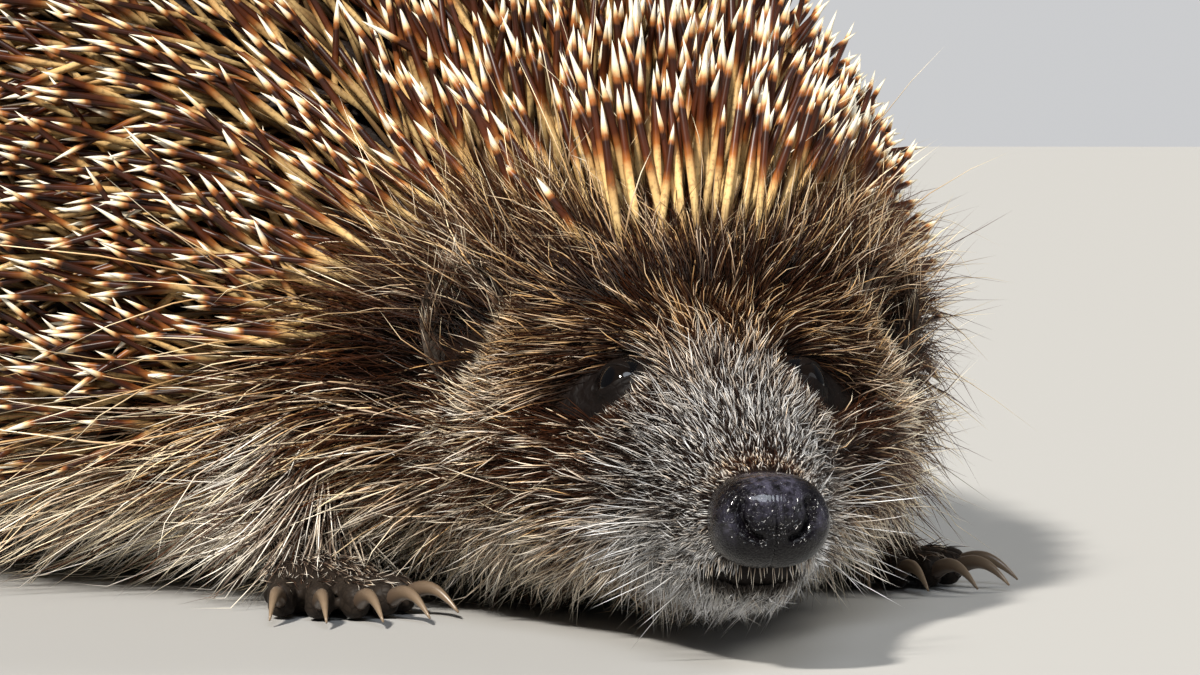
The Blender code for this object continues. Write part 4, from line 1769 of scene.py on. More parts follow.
@dataclass(frozen=True)
class Limb:
    """The sizes of a leg and its foot."""

    name: str
    hip: Triple  # the leg's top, inside the body: along, out and up
    ankle: Triple  # where it meets the foot: along, out and up
    radii: Pair  # the leg's thickness at its top and at the ankle
    heel_along: float  # the heel's place along the spine line
    foot_out: float  # how far out the foot stands
    foot_length: float  # from the heel to the toes' roots
    foot_width: float  # of the palm
    toe_length: float  # of the longest toe
    toe_radius: float  # of a toe
    claw_length: float  # of a claw
    splay: float  # how far the toes point away from the spine line


FORE = Limb(
    name="fore",
    hip=(0.08, 0.0275, 0.02),
    ankle=(0.0765, 0.03, 0.0055),
    radii=(0.006, 0.0037),
    heel_along=0.08,
    foot_out=0.03,
    foot_length=0.0135,
    foot_width=0.0125,
    toe_length=0.007,
    toe_radius=0.0015,
    claw_length=0.0048,
    splay=math.radians(6),
)
HIND = Limb(
    name="hind",
    hip=(0.184, 0.033, 0.02),
    ankle=(0.1858, 0.0375, 0.0055),
    radii=(0.0066, 0.004),
    heel_along=0.193,
    foot_out=0.037,
    foot_length=0.024,
    foot_width=0.0115,
    toe_length=0.0085,
    toe_radius=0.0015,
    claw_length=0.004,
    splay=math.radians(12),
)


def tube_shell(path: Array, radii: Array, sides: int, squash: float = 1.0) -> Shell:
    """A tube along a path, closed at both ends.

    Args:
        path: the points of its middle line.
        radii: its radius at each.
        sides: how many points go round.
        squash: its height as a share of its width.

    Returns:
        The shell, with a number along from 0 at its start to 1 at its end.
    """
    ahead = unit(np.gradient(path, axis=0))
    across = unit(np.cross(ahead, np.array((0.0, 0.013, 1.0))))
    up = np.cross(across, ahead)
    angles = 2 * math.pi * np.arange(sides) / sides
    ring = across[:, None] * np.cos(angles)[:, None] + up[:, None] * np.sin(angles)[:, None] * squash
    points = path[:, None] + ring * radii[:, None, None]
    first = path[0] + (points[:1] - path[0]) * 0.003
    last = path[-1] + (points[-1:] - path[-1]) * 0.003
    places = np.linspace(0, 1, len(path))
    along = np.concatenate(([0.0], places, [1.0]))[:, None] * np.ones((1, sides))
    return Shell.grid(np.concatenate((first, points, last)), along=along)


@dataclass
class Foot:
    """One leg from inside the body down to the tips of its claws."""

    form: BodyForm
    limb: Limb
    side: Side
    grain: float = 0.00042  # the fineness with which leg and toes are melted together

    def name(self) -> str:
        """The leg's name, as fore_left."""
        return f"{self.limb.name}_{self.side.name.lower()}"

    def foot_axes(self) -> tuple[Array, Array]:
        """Where the foot stands.

        Returns:
            The heel's place on the floor, and the rows across, back and up.
        """
        limb, side = self.limb, self.side.value
        origin = self.form.place(limb.heel_along, side * limb.foot_out, 0.0)
        left, rear, up = self.form.axes(limb.heel_along)
        turn = side * limb.splay
        across = left * math.cos(turn) + rear * math.sin(turn)
        back = rear * math.cos(turn) - left * math.sin(turn)
        return origin, np.array((across, back, up))

    def placed(self, points: Array) -> Array:
        """Points of the foot's own axes, in the frame."""
        origin, basis = self.foot_axes()
        return points @ basis + origin

    def toes(self) -> Iterable[tuple[Array, Array, float]]:
        """The toes, in the foot's own axes.

        Returns:
            Each toe's root, direction and length.
        """
        limb = self.limb
        for across in np.linspace(-1, 1, 5):
            spread = math.radians(26) * across
            ahead = np.array((math.sin(spread), -math.cos(spread), 0.0))
            root = (across * limb.foot_width * 0.36, -limb.foot_length * (0.93 - 0.16 * across**2), 0.0)
            yield np.array(root), ahead, limb.toe_length * (1 - 0.3 * across**2)

    def parts(self) -> list[Shell]:
        """The leg, the palm, the toes and the pads.

        Returns:
            Closed shells that overlap, in the frame.
        """
        limb = self.limb
        side = self.side.value
        ends = [self.form.place(a, side * o, h) for a, o, h in (limb.hip, limb.ankle)]
        share = np.linspace(0, 1, 10)[:, None]
        leg = tube_shell(ends[0] * (1 - share) + ends[1] * share, np.linspace(*limb.radii, 10), 24)
        shells = [leg, self.palm()]
        rise = UP * (limb.toe_radius + 0.0002)
        for root, ahead, length in self.toes():
            t = np.linspace(-0.45, 1.0, 14)[:, None]
            arch = UP * 0.0009 * np.sin(math.pi * np.clip(t, 0, 1))
            path = root + rise + ahead * length * t + arch
            knuckle = 1 + 0.1 * np.sin(t[:, 0] * 9.0) - 0.12 * np.clip(t[:, 0], 0, 1)
            end = np.sqrt(np.clip((1.02 - t[:, 0]) / 0.16, 0.02, 1.0))
            shells.append(tube_shell(self.placed(path), limb.toe_radius * knuckle * end, 14))
            pad = root + UP * 0.0012 + ahead * length * 0.72
            shells.append(self.cushion(pad, (0.0014, 0.0017, 0.0011)))
        for across, back in ((-0.3, 0.78), (0.0, 0.86), (0.3, 0.78), (-0.24, 0.3), (0.2, 0.24)):
            pad = np.array((across * limb.foot_width, -back * limb.foot_length, 0.0012))
            shells.append(self.cushion(pad, (0.0019, 0.0021, 0.0012)))
        return shells

    def palm(self) -> Shell:
        """The foot from heel to the toes' roots.

        Returns:
            The shell.
        """
        limb = self.limb
        t = np.linspace(0, 1, 26)
        swell = np.sin(math.pi * (0.05 + 0.87 * t)) ** 0.55
        wide = limb.foot_width / 2 * swell * (0.72 + 0.28 * t)
        high = 0.0029 * (1 - 0.3 * t) * swell
        path = np.stack((np.zeros(26), -t * limb.foot_length, high + 0.0004), axis=-1)
        shell = tube_shell(self.placed(path), wide, 28)
        ends = lambda row: np.repeat(np.concatenate((row[:1], row, row[-1:])), 28, axis=0)
        local = shell.points - self.placed(ends(path))
        shell.points[:, 2] += local[:, 2] * (ends(high) / ends(wide) - 1.0)
        return shell

    def cushion(self, place: Array, size: tuple) -> Shell:
        """A small pad under the foot.

        Args:
            place: its middle, in the foot's own axes.
            size: its half sizes.

        Returns:
            The shell.
        """
        points = ball(10, 14, 0.02)[1] * np.array(size) + place
        return Shell.grid(self.placed(points)).turned()

    def shell(self) -> Shell:
        """Melts leg, palm and toes into one smooth skin that stands on the floor.

        Returns:
            The skin.
        """
        whole = joined(self.parts())
        mesh = mesh_of_shell("melting", Shell(whole.points, whole.faces))
        solid = in_scene("melting", mesh)
        melt = solid.modifiers.new("melt", "REMESH")
        melt.mode, melt.voxel_size = "VOXEL", self.grain
        soften = solid.modifiers.new("soften", "SMOOTH")
        soften.factor, soften.iterations = 0.5, 4
        graph = bpy.context.evaluated_depsgraph_get()
        done = solid.evaluated_get(graph).to_mesh()
        points = np.empty(len(done.vertices) * 3, np.float32)
        done.vertices.foreach_get("co", points)
        faces = np.array([f.vertices[:] for f in done.polygons if len(f.vertices) == 4])
        solid.evaluated_get(graph).to_mesh_clear()
        bpy.data.objects.remove(solid)
        bpy.data.meshes.remove(mesh)
        points = points.reshape(-1, 3).astype(float)
        points[:, 2] = np.maximum(points[:, 2], 0.0)
        bare = step(points[:, 2], 0.006, 0.003)
        return Shell(points, faces).with_numbers(bare=bare, thin=0.3, pale=0.3, warm=0.5)

    def claws(self) -> list[Shell]:
        """Five curved claws.

        Returns:
            A shell for each.
        """
        limb = self.limb
        shells = []
        for root, ahead, length in self.toes():
            start = root + UP * (limb.toe_radius + 0.0004) + ahead * length * 0.9
            t = np.linspace(0, 1, 16)[:, None]
            reach = limb.claw_length + length * 0.1 + limb.toe_radius
            arch = UP * (0.0012 * np.sin(math.pi * t) - (start[2] - 0.0007) * t**1.6)
            path = start + ahead * reach * t + arch
            radius = limb.toe_radius * 0.45 * (1 - t[:, 0] ** 1.5) + 0.00009
            shells.append(tube_shell(self.placed(path), radius, 12, squash=1.15))
        return shells


@dataclass
class Tail:
    """The short tail under the rump."""

    form: BodyForm
    root: Pair = (0.202, 0.027)  # where it leaves the body: along and up
    solid_root: Pair = (0.215, 0.02)  # where the solid tail starts
    length: float = 0.0175  # of the solid tail
    direction: Triple = (0.1, 0.94, -0.32)  # it points to the rear and down

    def shell(self) -> Shell:
        """The tail's skin.

        Returns:
            The shell.
        """
        t = np.linspace(0, 1, 24)[:, None]
        start, low = (self.form.place(along, 0.0, height) for along, height in (self.root, self.solid_root))
        tip = low + unit(np.array(self.direction)) * self.length
        sag = UP * 0.0015 * np.sin(math.pi * t)
        radii = 0.003 * (1 - 0.62 * t) * np.sqrt(np.clip((1.02 - t) / 0.1, 0.03, 1))
        shell = tube_shell(start * (1 - t) + tip * t + sag, radii[:, 0], 24)
        return shell.with_numbers(bare=0.0, thin=0.0, pale=0.3, warm=0.5)


def roots_on_shell(shell: Shell, weight: Array, rear: Array, count: int) -> Roots:
    """Roots spread over any shell.

    Args:
        shell: the surface.
        weight: how dense they stand on each face.
        rear: the direction in which hairs are combed.
        count: how many.

    Returns:
        The roots.
    """
    corners = shell.points[shell.faces]
    normal = np.cross(corners[:, 2] - corners[:, 0], corners[:, 3] - corners[:, 1])
    area = np.linalg.norm(normal, axis=-1)
    chance = area * np.maximum(weight, 1e-9)
    face = rng.choice(len(chance), size=count, p=chance / chance.sum())
    s, t = rng.random((2, count, 1))
    quad = corners[face]
    place = (quad[:, 0] * (1 - s) + quad[:, 1] * s) * (1 - t) + (quad[:, 3] * (1 - s) + quad[:, 2] * s) * t
    normal = unit(normal[face])
    along_skin = unit(rear - normal * dot(normal, rear))
    low, high = shell.points.min(axis=0), shell.points.max(axis=0)
    flat = (place - low) / np.maximum(high - low, 1e-6)
    unwrap = np.stack((flat[:, 1], flat[:, 0] * 0.5 + flat[:, 2] * 0.5), axis=-1)
    zero = np.zeros(count)
    return Roots(place, normal, along_skin, zero, zero, place[:, 2], unwrap)


# -------- how the coat lies


@dataclass(frozen=True)
class Lie:
    """How the coat stands at one place of the body; between such places it changes smoothly."""

    along: float
    out: float
    height: float
    reach: float  # how far its say goes
    up: float  # the share of its direction away from the skin
    back: float  # the share to the rear
    down: float  # the share down the side
    length: float  # of its strands
    wild: float = 0.16  # how much their directions differ

    @staticmethod
    def rows(*rows: tuple[float, ...]) -> "tuple[Lie, ...]":
        """Lies from rows whose lengths are in millimetres."""
        return tuple(Lie(*map(metres, row[:4]), *row[4:7], metres(row[7]), *row[8:]) for row in rows)


@dataclass
class Grooming:
    """The lie of the coat all over the body."""

    form: BodyForm
    lies: Sequence[Lie]  # the marked places
    # the outline that the tips of the coat reach
    outline: BodyForm = field(default_factory=lambda: BodyForm(stations=OUTLINE))

    def at(self, roots: Roots) -> dict[str, Array]:
        """How the coat lies at the roots.

        Args:
            roots: the roots.

        Returns:
            Each of the lie's measures, by name.
        """
        place = np.stack((roots.along, np.abs(roots.out), roots.height), axis=-1)
        marks = np.array([(l.along, l.out, l.height) for l in self.lies])
        reach = np.array([l.reach for l in self.lies])
        away = np.linalg.norm(place[:, None] - marks[None], axis=-1)
        say = np.exp(-0.5 * (away / reach) ** 2) / reach + 1e-4 / (away + 1e-3) ** 2 * 1e-3
        say = say / say.sum(axis=1, keepdims=True)
        names = ("up", "back", "down", "length", "wild")
        return {name: say @ np.array([getattr(l, name) for l in self.lies]) for name in names}

    def lean(self, roots: Roots, lie: dict[str, Array]) -> Array:
        """Combs strands.

        Args:
            roots: where they grow.
            lie: how the coat lies there.

        Returns:
            The direction of each at its root.
        """
        around = np.cross(roots.rear, roots.normal)
        half_width = np.maximum(self.form.measure("half_width", np.clip(roots.along, 0.004, 0.214)), 0.002)
        share = np.tanh(3 * roots.out / half_width)[:, None]
        lean = roots.normal * lie["up"][:, None] + roots.rear * lie["back"][:, None]
        lean = unit(lean + around * share * lie["down"][:, None])
        spread = rng.normal(size=lean.shape) * lie["wild"][:, None]
        lean = unit(lean + spread)
        sunk = np.minimum(dot(lean, roots.normal) - 0.1, 0.0)
        return unit(lean - roots.normal * sunk)

    def raised(self, roots: Roots, lean: Array, length: Array, most: Array, target: Array) -> Array:
        """Strands laid down, or raised, until their tips touch the coat's outline.

        Args:
            roots: where they grow.
            lean: their directions.
            length: their lengths.
            most: the steepest angle that each may take.
            target: how full the outline is at the tips, 1 on it.

        Returns:
            The new directions.
        """
        flat = unit(lean - roots.normal * dot(lean, roots.normal))
        raise_to = lambda angle: flat * np.cos(angle)[:, None] + roots.normal * np.sin(angle)[:, None]
        low, high = np.full(len(roots), math.radians(5)), most
        for _ in range(12):
            angle = (low + high) / 2
            tips = roots.place + raise_to(angle) * length[:, None]
            outside = self.outline.fullness(tips) > target
            high = np.where(outside, angle, high)
            low = np.where(outside, low, angle)
        return raise_to((low + high) / 2)


# Rows of Lie's fields, the lengths in millimetres.
FUR_LIES = Lie.rows(
    (6, 0, 18.2, 1.8, 0.7, 1, 0, 0.7, 0.24),
    (9.5, 0, 19.4, 2.6, 0.45, 1, 0.05, 1.6, 0.18),
    (14.5, 0, 21, 3.5, 0.5, 1, 0.1, 4.2, 0.17),
    (20.5, 0, 23.6, 4, 0.5, 1, 0.12, 5.6, 0.18),
    (27, 0, 27, 4, 0.5, 1, 0.18, 6.4, 0.2),
    (33, 0, 29.8, 4, 0.6, 1, 0.25, 8.6, 0.2),
    (40, 0, 33, 4, 0.85, 0.9, 0.2, 11, 0.2),
    (6, 4.5, 14, 2, 0.6, 1, 0, 1.3, 0.18),
    (13, 6.2, 14, 3.5, 0.4, 1, 0.1, 3.2, 0.19),
    (21, 7.8, 16, 4, 0.36, 1, 0.12, 4.4, 0.2),
    (25, 6.5, 24.5, 2.6, 0.4, 1, 0.25, 4.4, 0.18),
    (30.5, 7.8, 27.5, 2.6, 0.45, 0.9, 1, 7, 0.18),
    (35, 11.5, 27.2, 2.8, 0.4, 1, 0.9, 8.5, 0.18),
    (30, 11.8, 16.5, 4, 0.3, 1, 0.1, 5.6, 0.17),
    (37, 15.5, 23, 3, 0.34, 1, 0.1, 8, 0.2),
    (40, 17, 29, 3.5, 0.6, 0.9, 0.05, 9.5, 0.18),
    (38, 16.5, 15, 5, 0.32, 1, 0.12, 9.5, 0.17),
    (6, 3, 10, 1.5, 0.45, 1, 0.2, 1.4, 0.18),
    (8, 2, 7.2, 2.2, 0.8, 0.5, 0.6, 4.2, 0.22),
    (12, 0, 6.2, 4, 0.8, 0.7, 0, 4.6, 0.22),
    (20, 6, 8, 4.5, 0.6, 0.8, 0.5, 8.6, 0.22),
    (33, 11, 8.5, 5.5, 0.5, 0.8, 0.5, 11.5, 0.2),
    (47, 19, 10, 7, 0.5, 0.9, 0.32, 14, 0.18),
    (48, 20.5, 19, 6, 0.45, 1, 0.1, 15, 0.22),
    (48, 15, 30, 5, 0.9, 0.9, 0, 14, 0.22),
    (60, 25, 27, 6, 0.6, 1, 0.1, 17, 0.24),
    (60, 25, 15, 8, 0.65, 1, 0.06, 22, 0.21),
    (85, 35, 13, 15, 0.8, 1, 0.1, 25, 0.21),
    (130, 50, 14, 25, 0.9, 1, 0.28, 24, 0.21),
    (180, 45, 14, 20, 0.9, 0.9, 0.6, 22, 0.17),
    (208, 20, 19, 10, 0.7, 0.8, 0.5, 14, 0.2),
    (70, 20, 7, 12, 0.6, 1, 0.45, 15, 0.2),
    (70, 0, 6.2, 15, 0.3, 1, 0, 9, 0.2),
    (130, 30, 7, 20, 0.6, 1, 0.3, 12, 0.2),
    (130, 0, 7, 25, 0.25, 1, 0, 9, 0.2),
    (195, 0, 11, 15, 0.3, 1, 0, 9, 0.2),
)

SPINE_LIES = Lie.rows(
    (41, 0, 33.5, 5, 1, 0.5, 0.1, 18.5),
    (44, 14, 31.5, 5, 1, 0.6, 0.2, 18.5),
    (56, 0, 41, 8, 1, 0.65, 0.1, 20),
    (56, 19, 33, 7, 0.8, 0.8, 0.1, 16),
    (76, 0, 53, 12, 0.75, 0.95, 0.1, 21.5),
    (74, 28, 33, 11, 0.62, 1, 0.1, 17),
    (110, 0, 79, 20, 0.66, 1, 0.1, 21.5),
    (110, 44, 35, 18, 0.58, 1, 0.2, 18.5),
    (150, 0, 89, 25, 0.62, 1, 0.1, 22),
    (150, 50, 33, 22, 0.55, 1, 0.3, 20.5),
    (190, 0, 74, 15, 0.62, 0.9, 0.2, 21.5),
    (190, 42, 33, 15, 0.55, 0.85, 0.4, 20.5),
    (212, 0, 42, 9, 0.7, 0.7, 0.2, 17.5),
)


def soft_noise(points: Array, size: float) -> Array:
    """Smooth chance values between about -1 and 1, alike within a few sizes of each other.

    Args:
        points: where.
        size: how far apart places differ.

    Returns:
        A value for each point.
    """
    total = np.zeros(len(points))
    for _ in range(7):
        wave = unit(rng.normal(size=3)) * rng.uniform(0.6, 1.4) / size
        total += np.sin(points @ wave + rng.uniform(0, 2 * math.pi))
    return total / 2.6


HAIR_SHORT = StrandShape(3, (0.0, 0.5), (1.0, 0.85))
HAIR_MIDDLE = StrandShape(3, (0.0, 0.35, 0.7), (0.85, 1.0, 0.65))
HAIR_LONG = StrandShape(3, (0.0, 0.27, 0.53, 0.78), (0.8, 1.0, 0.9, 0.55))
SPINE_SHAPE = StrandShape(5, (0.0, 0.55, 0.85, 0.93), (0.75, 1.0, 0.82, 0.43))


@dataclass
class Coat:
    """All that grows from the skin. Each of its methods adds one kind of strand or a few alike."""

    hide: Hide
    markings: Markings
    ears: Sequence[Ear]  # the ears, which the fur leaves free
    horn: SpineFinish = SpineFinish()
    hair: HairFinish = HairFinish()

    def __post_init__(self) -> None:
        """Starts the grooming."""
        self.fur = Grooming(self.hide.form, FUR_LIES)
        self.spines = Grooming(self.hide.form, SPINE_LIES)

    def add(self, name: str, strands: Strands, shape: StrandShape, slot: str) -> None:
        """Puts strands into the scene in pieces of a fair size.

        Args:
            name: the pieces' name.
            strands: the strands.
            shape: their cross-section.
            slot: the record's slot.
        """
        finish = self.horn if slot == "spines" else self.hair
        tips = strands.tips()
        low, high = (np.array(corner) for corner in CAD_BOX)
        strands = strands.pick(((tips > low - OUTLINE_SPARE) & (tips < high + OUTLINE_SPARE)).all(axis=1))
        each = shape.triangles()
        pieces = max(1, math.ceil(len(strands.roots) * each / MOST_TRIANGLES))
        order = np.argsort(strands.roots.along + strands.roots.out * 0.01, kind="stable")
        for number, rows in enumerate(np.array_split(order, pieces)):
            label = name if pieces == 1 else f"{name}_{number + 1}"
            mesh = strands.pick(rows).mesh(label, shape)
            add_piece(label, mesh, finish.material(), slot)

    def from_ear(self, roots: Roots) -> Array:
        """How far in front of an ear roots lie.

        Args:
            roots: the roots.

        Returns:
            The distances; far more behind an ear.
        """
        away = np.full(len(roots), 1.0)
        for ear in self.ears:
            offset = roots.place - ear.hollow()
            behind = step(offset @ ear.axes()[1][1], 0.0005, 0.0025)
            away = np.minimum(away, np.linalg.norm(offset, axis=-1) + behind)
        return away

    def before_eye(self, roots: Roots) -> Array:
        """How long hairs may be where they would cross an eye behind them.

        Args:
            roots: the roots.

        Returns:
            The greatest lengths; very long elsewhere.
        """
        most = np.full(len(roots), 1.0)
        for eye in self.hide.eyes:
            offset = eye.centre - roots.place
            ahead = dot(offset, roots.rear)
            aside = np.linalg.norm(offset - roots.rear * ahead, axis=-1)
            reach = np.maximum(np.linalg.norm(offset, axis=-1) - 0.003, 0.0011)
            most = np.where((ahead[:, 0] > 0) & (aside < 0.0044), np.minimum(most, reach), most)
        return most

    def clear(self, roots: Roots) -> Array:
        """Where fur may grow.

        Args:
            roots: the roots.

        Returns:
            1, or 0 on the eyes' bare patches, in the ears, between the lips and under the nose.
        """
        lips = step(self.hide.lips(roots), 0.3, 0.12)
        nose = step(roots.along, 0.0036, 0.005)
        ear = step(self.from_ear(roots), 0.0036, 0.005)
        return (1 - self.hide.naked(roots.place)) * lips * nose * ear

    def below_spines(self, roots: Roots, blend: float) -> Array:
        """1 under the spines' edge, 0 above it, changing over the given height."""
        return step(self.markings.above_edge(roots), blend, -blend * 0.5)

    def hairs(self, roots: Roots, radius: float, stretch: float = 1.0, droop: float = 0.08) -> Strands:
        """Hairs on the given roots, groomed and coloured by the markings.

        Args:
            roots: where they grow.
            radius: their radius.
            stretch: their length as a share of the usual one.
            droop: how far their tips hang.

        Returns:
            The hairs.
        """
        count = len(roots)
        lie = self.fur.at(roots)
        lean = self.fur.lean(roots, lie)
        length = lie["length"] * stretch * np.clip(rng.normal(1.0, 0.22, count), 0.45, 1.55)
        short = np.minimum(length, np.maximum(self.from_ear(roots) - 0.003, 0.002))
        length = np.where(rng.random(count) < 0.04, length, short)
        length = np.minimum(length, self.before_eye(roots))
        most = np.arctan2(lie["up"], np.hypot(lie["back"], lie["down"])) * rng.uniform(0.8, 1.5, count)
        lean = self.fur.raised(roots, lean, length, np.minimum(most, 1.4), rng.uniform(0.88, 1.16, count))
        curl = np.clip(length / 0.08, 0.09, 0.18)[:, None]
        bend = rng.normal(size=(count, 3)) * curl - roots.normal * 0.16
        bend[:, 2] -= droop * np.clip(length / 0.012, 0.2, 1.5)
        pale = self.markings.pale(roots)
        chance = rng.random(count)
        light = chance < pale
        dull = np.where(chance < pale + 0.09 * (1 - pale), rng.uniform(0.1, 0.4, count), 0.0)
        share = np.where(light, rng.uniform(0.7, 1.0, count), dull)
        warm = self.markings.warm(roots)
        collar = 0.24 * warm * step(roots.height, 0.02, 0.026) * step(roots.along, 0.06, 0.045)
        collar = collar - 0.14 * step(roots.along, 0.046, 0.06) * step(roots.height, 0.021, 0.014)
        numbers = {
            "pale": share,
            "warm": np.clip(warm + rng.normal(0, 0.16, count), 0, 1),
            "tone": rng.random(count),
            "collar": collar * rng.uniform(0.6, 1.3, count),
        }
        radii = radius * rng.uniform(0.75, 1.2, count) * np.where(light, 1.5, 0.9)
        return Strands(roots, lean, bend, length, radii, numbers)

    def grow_spines(self) -> None:
        """The spines: erect over the brow, and lying back in crossing groups behind."""
        above = lambda r: step(self.markings.above_edge(r), -0.0004, 0.0004)
        roots = self.hide.scatter(60000, above)
        roots = roots.spaced(0.00124)
        count = len(roots)
        lie = self.spines.at(roots)
        lie["wild"] = np.full(count, 0.13)
        lean = self.spines.lean(roots, lie)
        crown = step(roots.along, 0.08, 0.045)
        turn = soft_noise(roots.place, 0.0045) * 0.42 + rng.normal(0, 0.36, count)
        turn = turn * (1 - 0.62 * crown)
        side = np.cross(roots.normal, lean)
        lean = unit(lean * np.cos(turn)[:, None] + side * np.sin(turn)[:, None])
        length = lie["length"] * np.clip(rng.normal(0.96, 0.13, count), 0.65, 1.2)
        most, target = np.full(count, math.radians(84)), rng.uniform(0.9, 1.03, count)
        lean = self.spines.raised(roots, lean, length, most, target)
        bend = rng.normal(size=(count, 3)) * 0.025 - roots.normal * 0.04
        radius = (0.0004 + 0.00006 * crown) * rng.uniform(0.82, 1.12, count)
        numbers = {"tone": rng.random(count), "shade": rng.random(count) + 0.5 * crown}
        strands = Strands(roots, lean, bend, length, radius, numbers)
        tips = strands.tips()[:, 2]
        strands = strands.pick((tips > 0.011) & (roots.height - tips < 0.011))
        self.add("spines", strands, SPINE_SHAPE, "spines")

    def grow_fur(self) -> None:
        """Fur of head, flanks and belly, longer and coarser towards the rear."""
        snout = lambda r: (
            self.clear(r)
            * step(r.along, 0.0275, 0.0215)
            * (1 + 1.2 * step(r.along, 0.012, 0.006))
        )
        face = lambda r: (
            self.clear(r)
            * step(r.along, 0.0205, 0.027)
            * step(r.along, 0.056, 0.048)
            * self.below_spines(r, 0.002)
            * step(r.height, 0.008, 0.011)
        )
        throat = lambda r: (
            self.clear(r) * step(r.height, 0.0125, 0.0085) * step(r.along, 0.062, 0.052)
        )
        flank = lambda r: (
            step(r.along, 0.045, 0.054)
            * self.below_spines(r, 0.0035)
            * step(np.abs(r.out), 0.012, 0.02)
            * (1 + 1.5 * step(r.along, 0.13, 0.08))
        )
        belly = lambda r: (
            step(r.along, 0.048, 0.056)
            * step(r.height, 0.0145, 0.01)
            * (0.3 + step(np.abs(r.out) / self.hide.form.measure("half_width", r.along), 0.45, 0.75))
        )
        patches = (  # name, where, how many hairs, radius, droop, locks, pull, shape, slot
            ("muzzle_fur", snout, 24000, 0.000039, 0.08, 2200, 0.7, HAIR_SHORT, "fur"),
            ("face_fur", face, 23000, 0.00005, 0.08, 1700, 0.62, HAIR_MIDDLE, "fur"),
            ("throat_fur", throat, 6500, 0.000055, 0.14, 450, 0.65, HAIR_MIDDLE, "pale_fur"),
            ("flank_fur", flank, 11000, 0.000064, 0.08, 850, 0.45, HAIR_LONG, "fur"),
            ("belly_fur", belly, 6500, 0.000088, 0.08, 500, 0.55, HAIR_MIDDLE, "pale_fur"),
        )
        for name, where, count, radius, droop, locks, pull, shape, slot in patches:
            strands = self.hairs(self.hide.scatter(count, where), radius, droop=droop)
            strands.gather(locks, pull)
            self.add(name, strands, shape, slot)

    def grow_guard_hairs(self) -> None:
        """Long pale hairs that stand out from the fur and across the lowest spines."""
        edge = lambda r: (
            step(r.along, 0.038, 0.046)
            * bump_at(self.markings.above_edge(r), -0.001, 0.006)
            * step(r.height, 0.042, 0.036)
            # fewer pale guard hairs behind the ears, which darkens the fur there as painted shade
            * (1 - 0.75 * bump_at(r.along, 0.055, 0.009) * step(r.height, 0.019, 0.024))
        )
        strands = self.hairs(self.hide.scatter(1900, edge), 0.000072, stretch=1.45)
        strands.numbers["pale"] = rng.uniform(0.85, 1.0, len(strands.roots))
        strands.numbers["collar"] = np.zeros(len(strands.roots))
        strands.lean = unit(strands.lean + strands.roots.normal * 0.25)
        self.add("guard_hairs", strands, HAIR_LONG, "pale_fur")

    def grow_whiskers(self) -> None:
        """Thin bristles at the muzzle's sides."""
        sides = lambda r: (
            self.clear(r) * bump_at(r.along, 0.012, 0.004) * bump_at(r.height, 0.0125, 0.0025)
        )
        strands = self.hairs(self.hide.scatter(70, sides), 0.000036)
        strands.length = rng.uniform(0.006, 0.012, 70)
        strands.bend = strands.bend * 0.5
        strands.lean = unit(strands.lean * 0.7 + strands.roots.normal)
        strands.numbers["pale"] = rng.uniform(0.5, 1.0, 70)
        self.add("whiskers", strands, HAIR_LONG, "pale_fur")

    def grow_lip_bristles(self) -> None:
        """A row of short stiff bristles that hang from the upper lip across the gap of the mouth."""
        lip = lambda r: step(r.along, 0.0085, 0.006) * bump_at(r.height, 0.0099, 0.00025)
        roots = self.hide.scatter(600, lip).spaced(0.00046)
        count = len(roots)
        lean = unit(roots.normal * 0.3 + rng.normal(size=(count, 3)) * 0.1 - UP)
        numbers = {"pale": np.full(count, 0.95), "warm": np.full(count, 0.45), "tone": rng.random(count)}
        numbers["collar"] = np.zeros(count)
        length = rng.uniform(0.0015, 0.0024, count)
        bend = -roots.normal * 0.15
        strands = Strands(roots, lean, bend, length, np.full(count, 0.00004), numbers)
        self.add("lip_bristles", strands, HAIR_MIDDLE, "pale_fur")

    def grow_ear_hairs(self) -> None:
        """Sparse pale hairs inside the ears and along their rims."""
        for ear in self.ears:
            for label, count, rim, length in (("inside", 440, False, 0.0058), ("rim", 420, True, 0.0026)):
                roots = ear.roots(count, rim)
                lean = unit(roots.normal * 0.4 + roots.rear + rng.normal(size=(count, 3)) * 0.2)
                bend = rng.normal(size=(count, 3)) * 0.07
                numbers = {
                    "pale": np.where(rng.random(count) < 0.34, rng.uniform(0.5, 0.9, count), 0.08),
                    "warm": rng.uniform(0.6, 0.95, count),
                    "tone": rng.random(count),
                    "collar": np.zeros(count),
                }
                lengths = length * rng.uniform(0.5, 1.3, count)
                strands = Strands(roots, lean, bend, lengths, np.full(count, 0.000042), numbers)
                name = f"ear_{label}_hairs_{ear.side.name.lower()}"
                self.add(name, strands, HAIR_MIDDLE, "fur")

    def grow_on(self, name: str, roots: Roots, length: float, radius: float, pale: float = 0.45) -> None:
        """Fur on a leg or the tail.

        Args:
            name: the piece's name.
            roots: where it grows.
            length: the hairs' length.
            radius: their radius.
            pale: the share of pale hairs.
        """
        count = len(roots)
        lean = unit(roots.normal * 0.22 + roots.rear + rng.normal(size=(count, 3)) * 0.2)
        bend = rng.normal(size=(count, 3)) * 0.13 - roots.normal * 0.12
        light = rng.random(count) < pale
        bright, dull = rng.uniform(0.6, 1, count), rng.uniform(0, 0.2, count)
        numbers = {
            "pale": np.where(light, bright, dull),
            "warm": rng.uniform(0.4, 0.7, count),
            "tone": rng.random(count),
            "collar": np.full(count, 0.45 - pale),
        }
        lengths = length * rng.uniform(0.6, 1.3, count)
        strands = Strands(roots, lean, bend, lengths, np.full(count, radius), numbers)
        self.add(name, strands, HAIR_MIDDLE, "fur")


# -------- studio


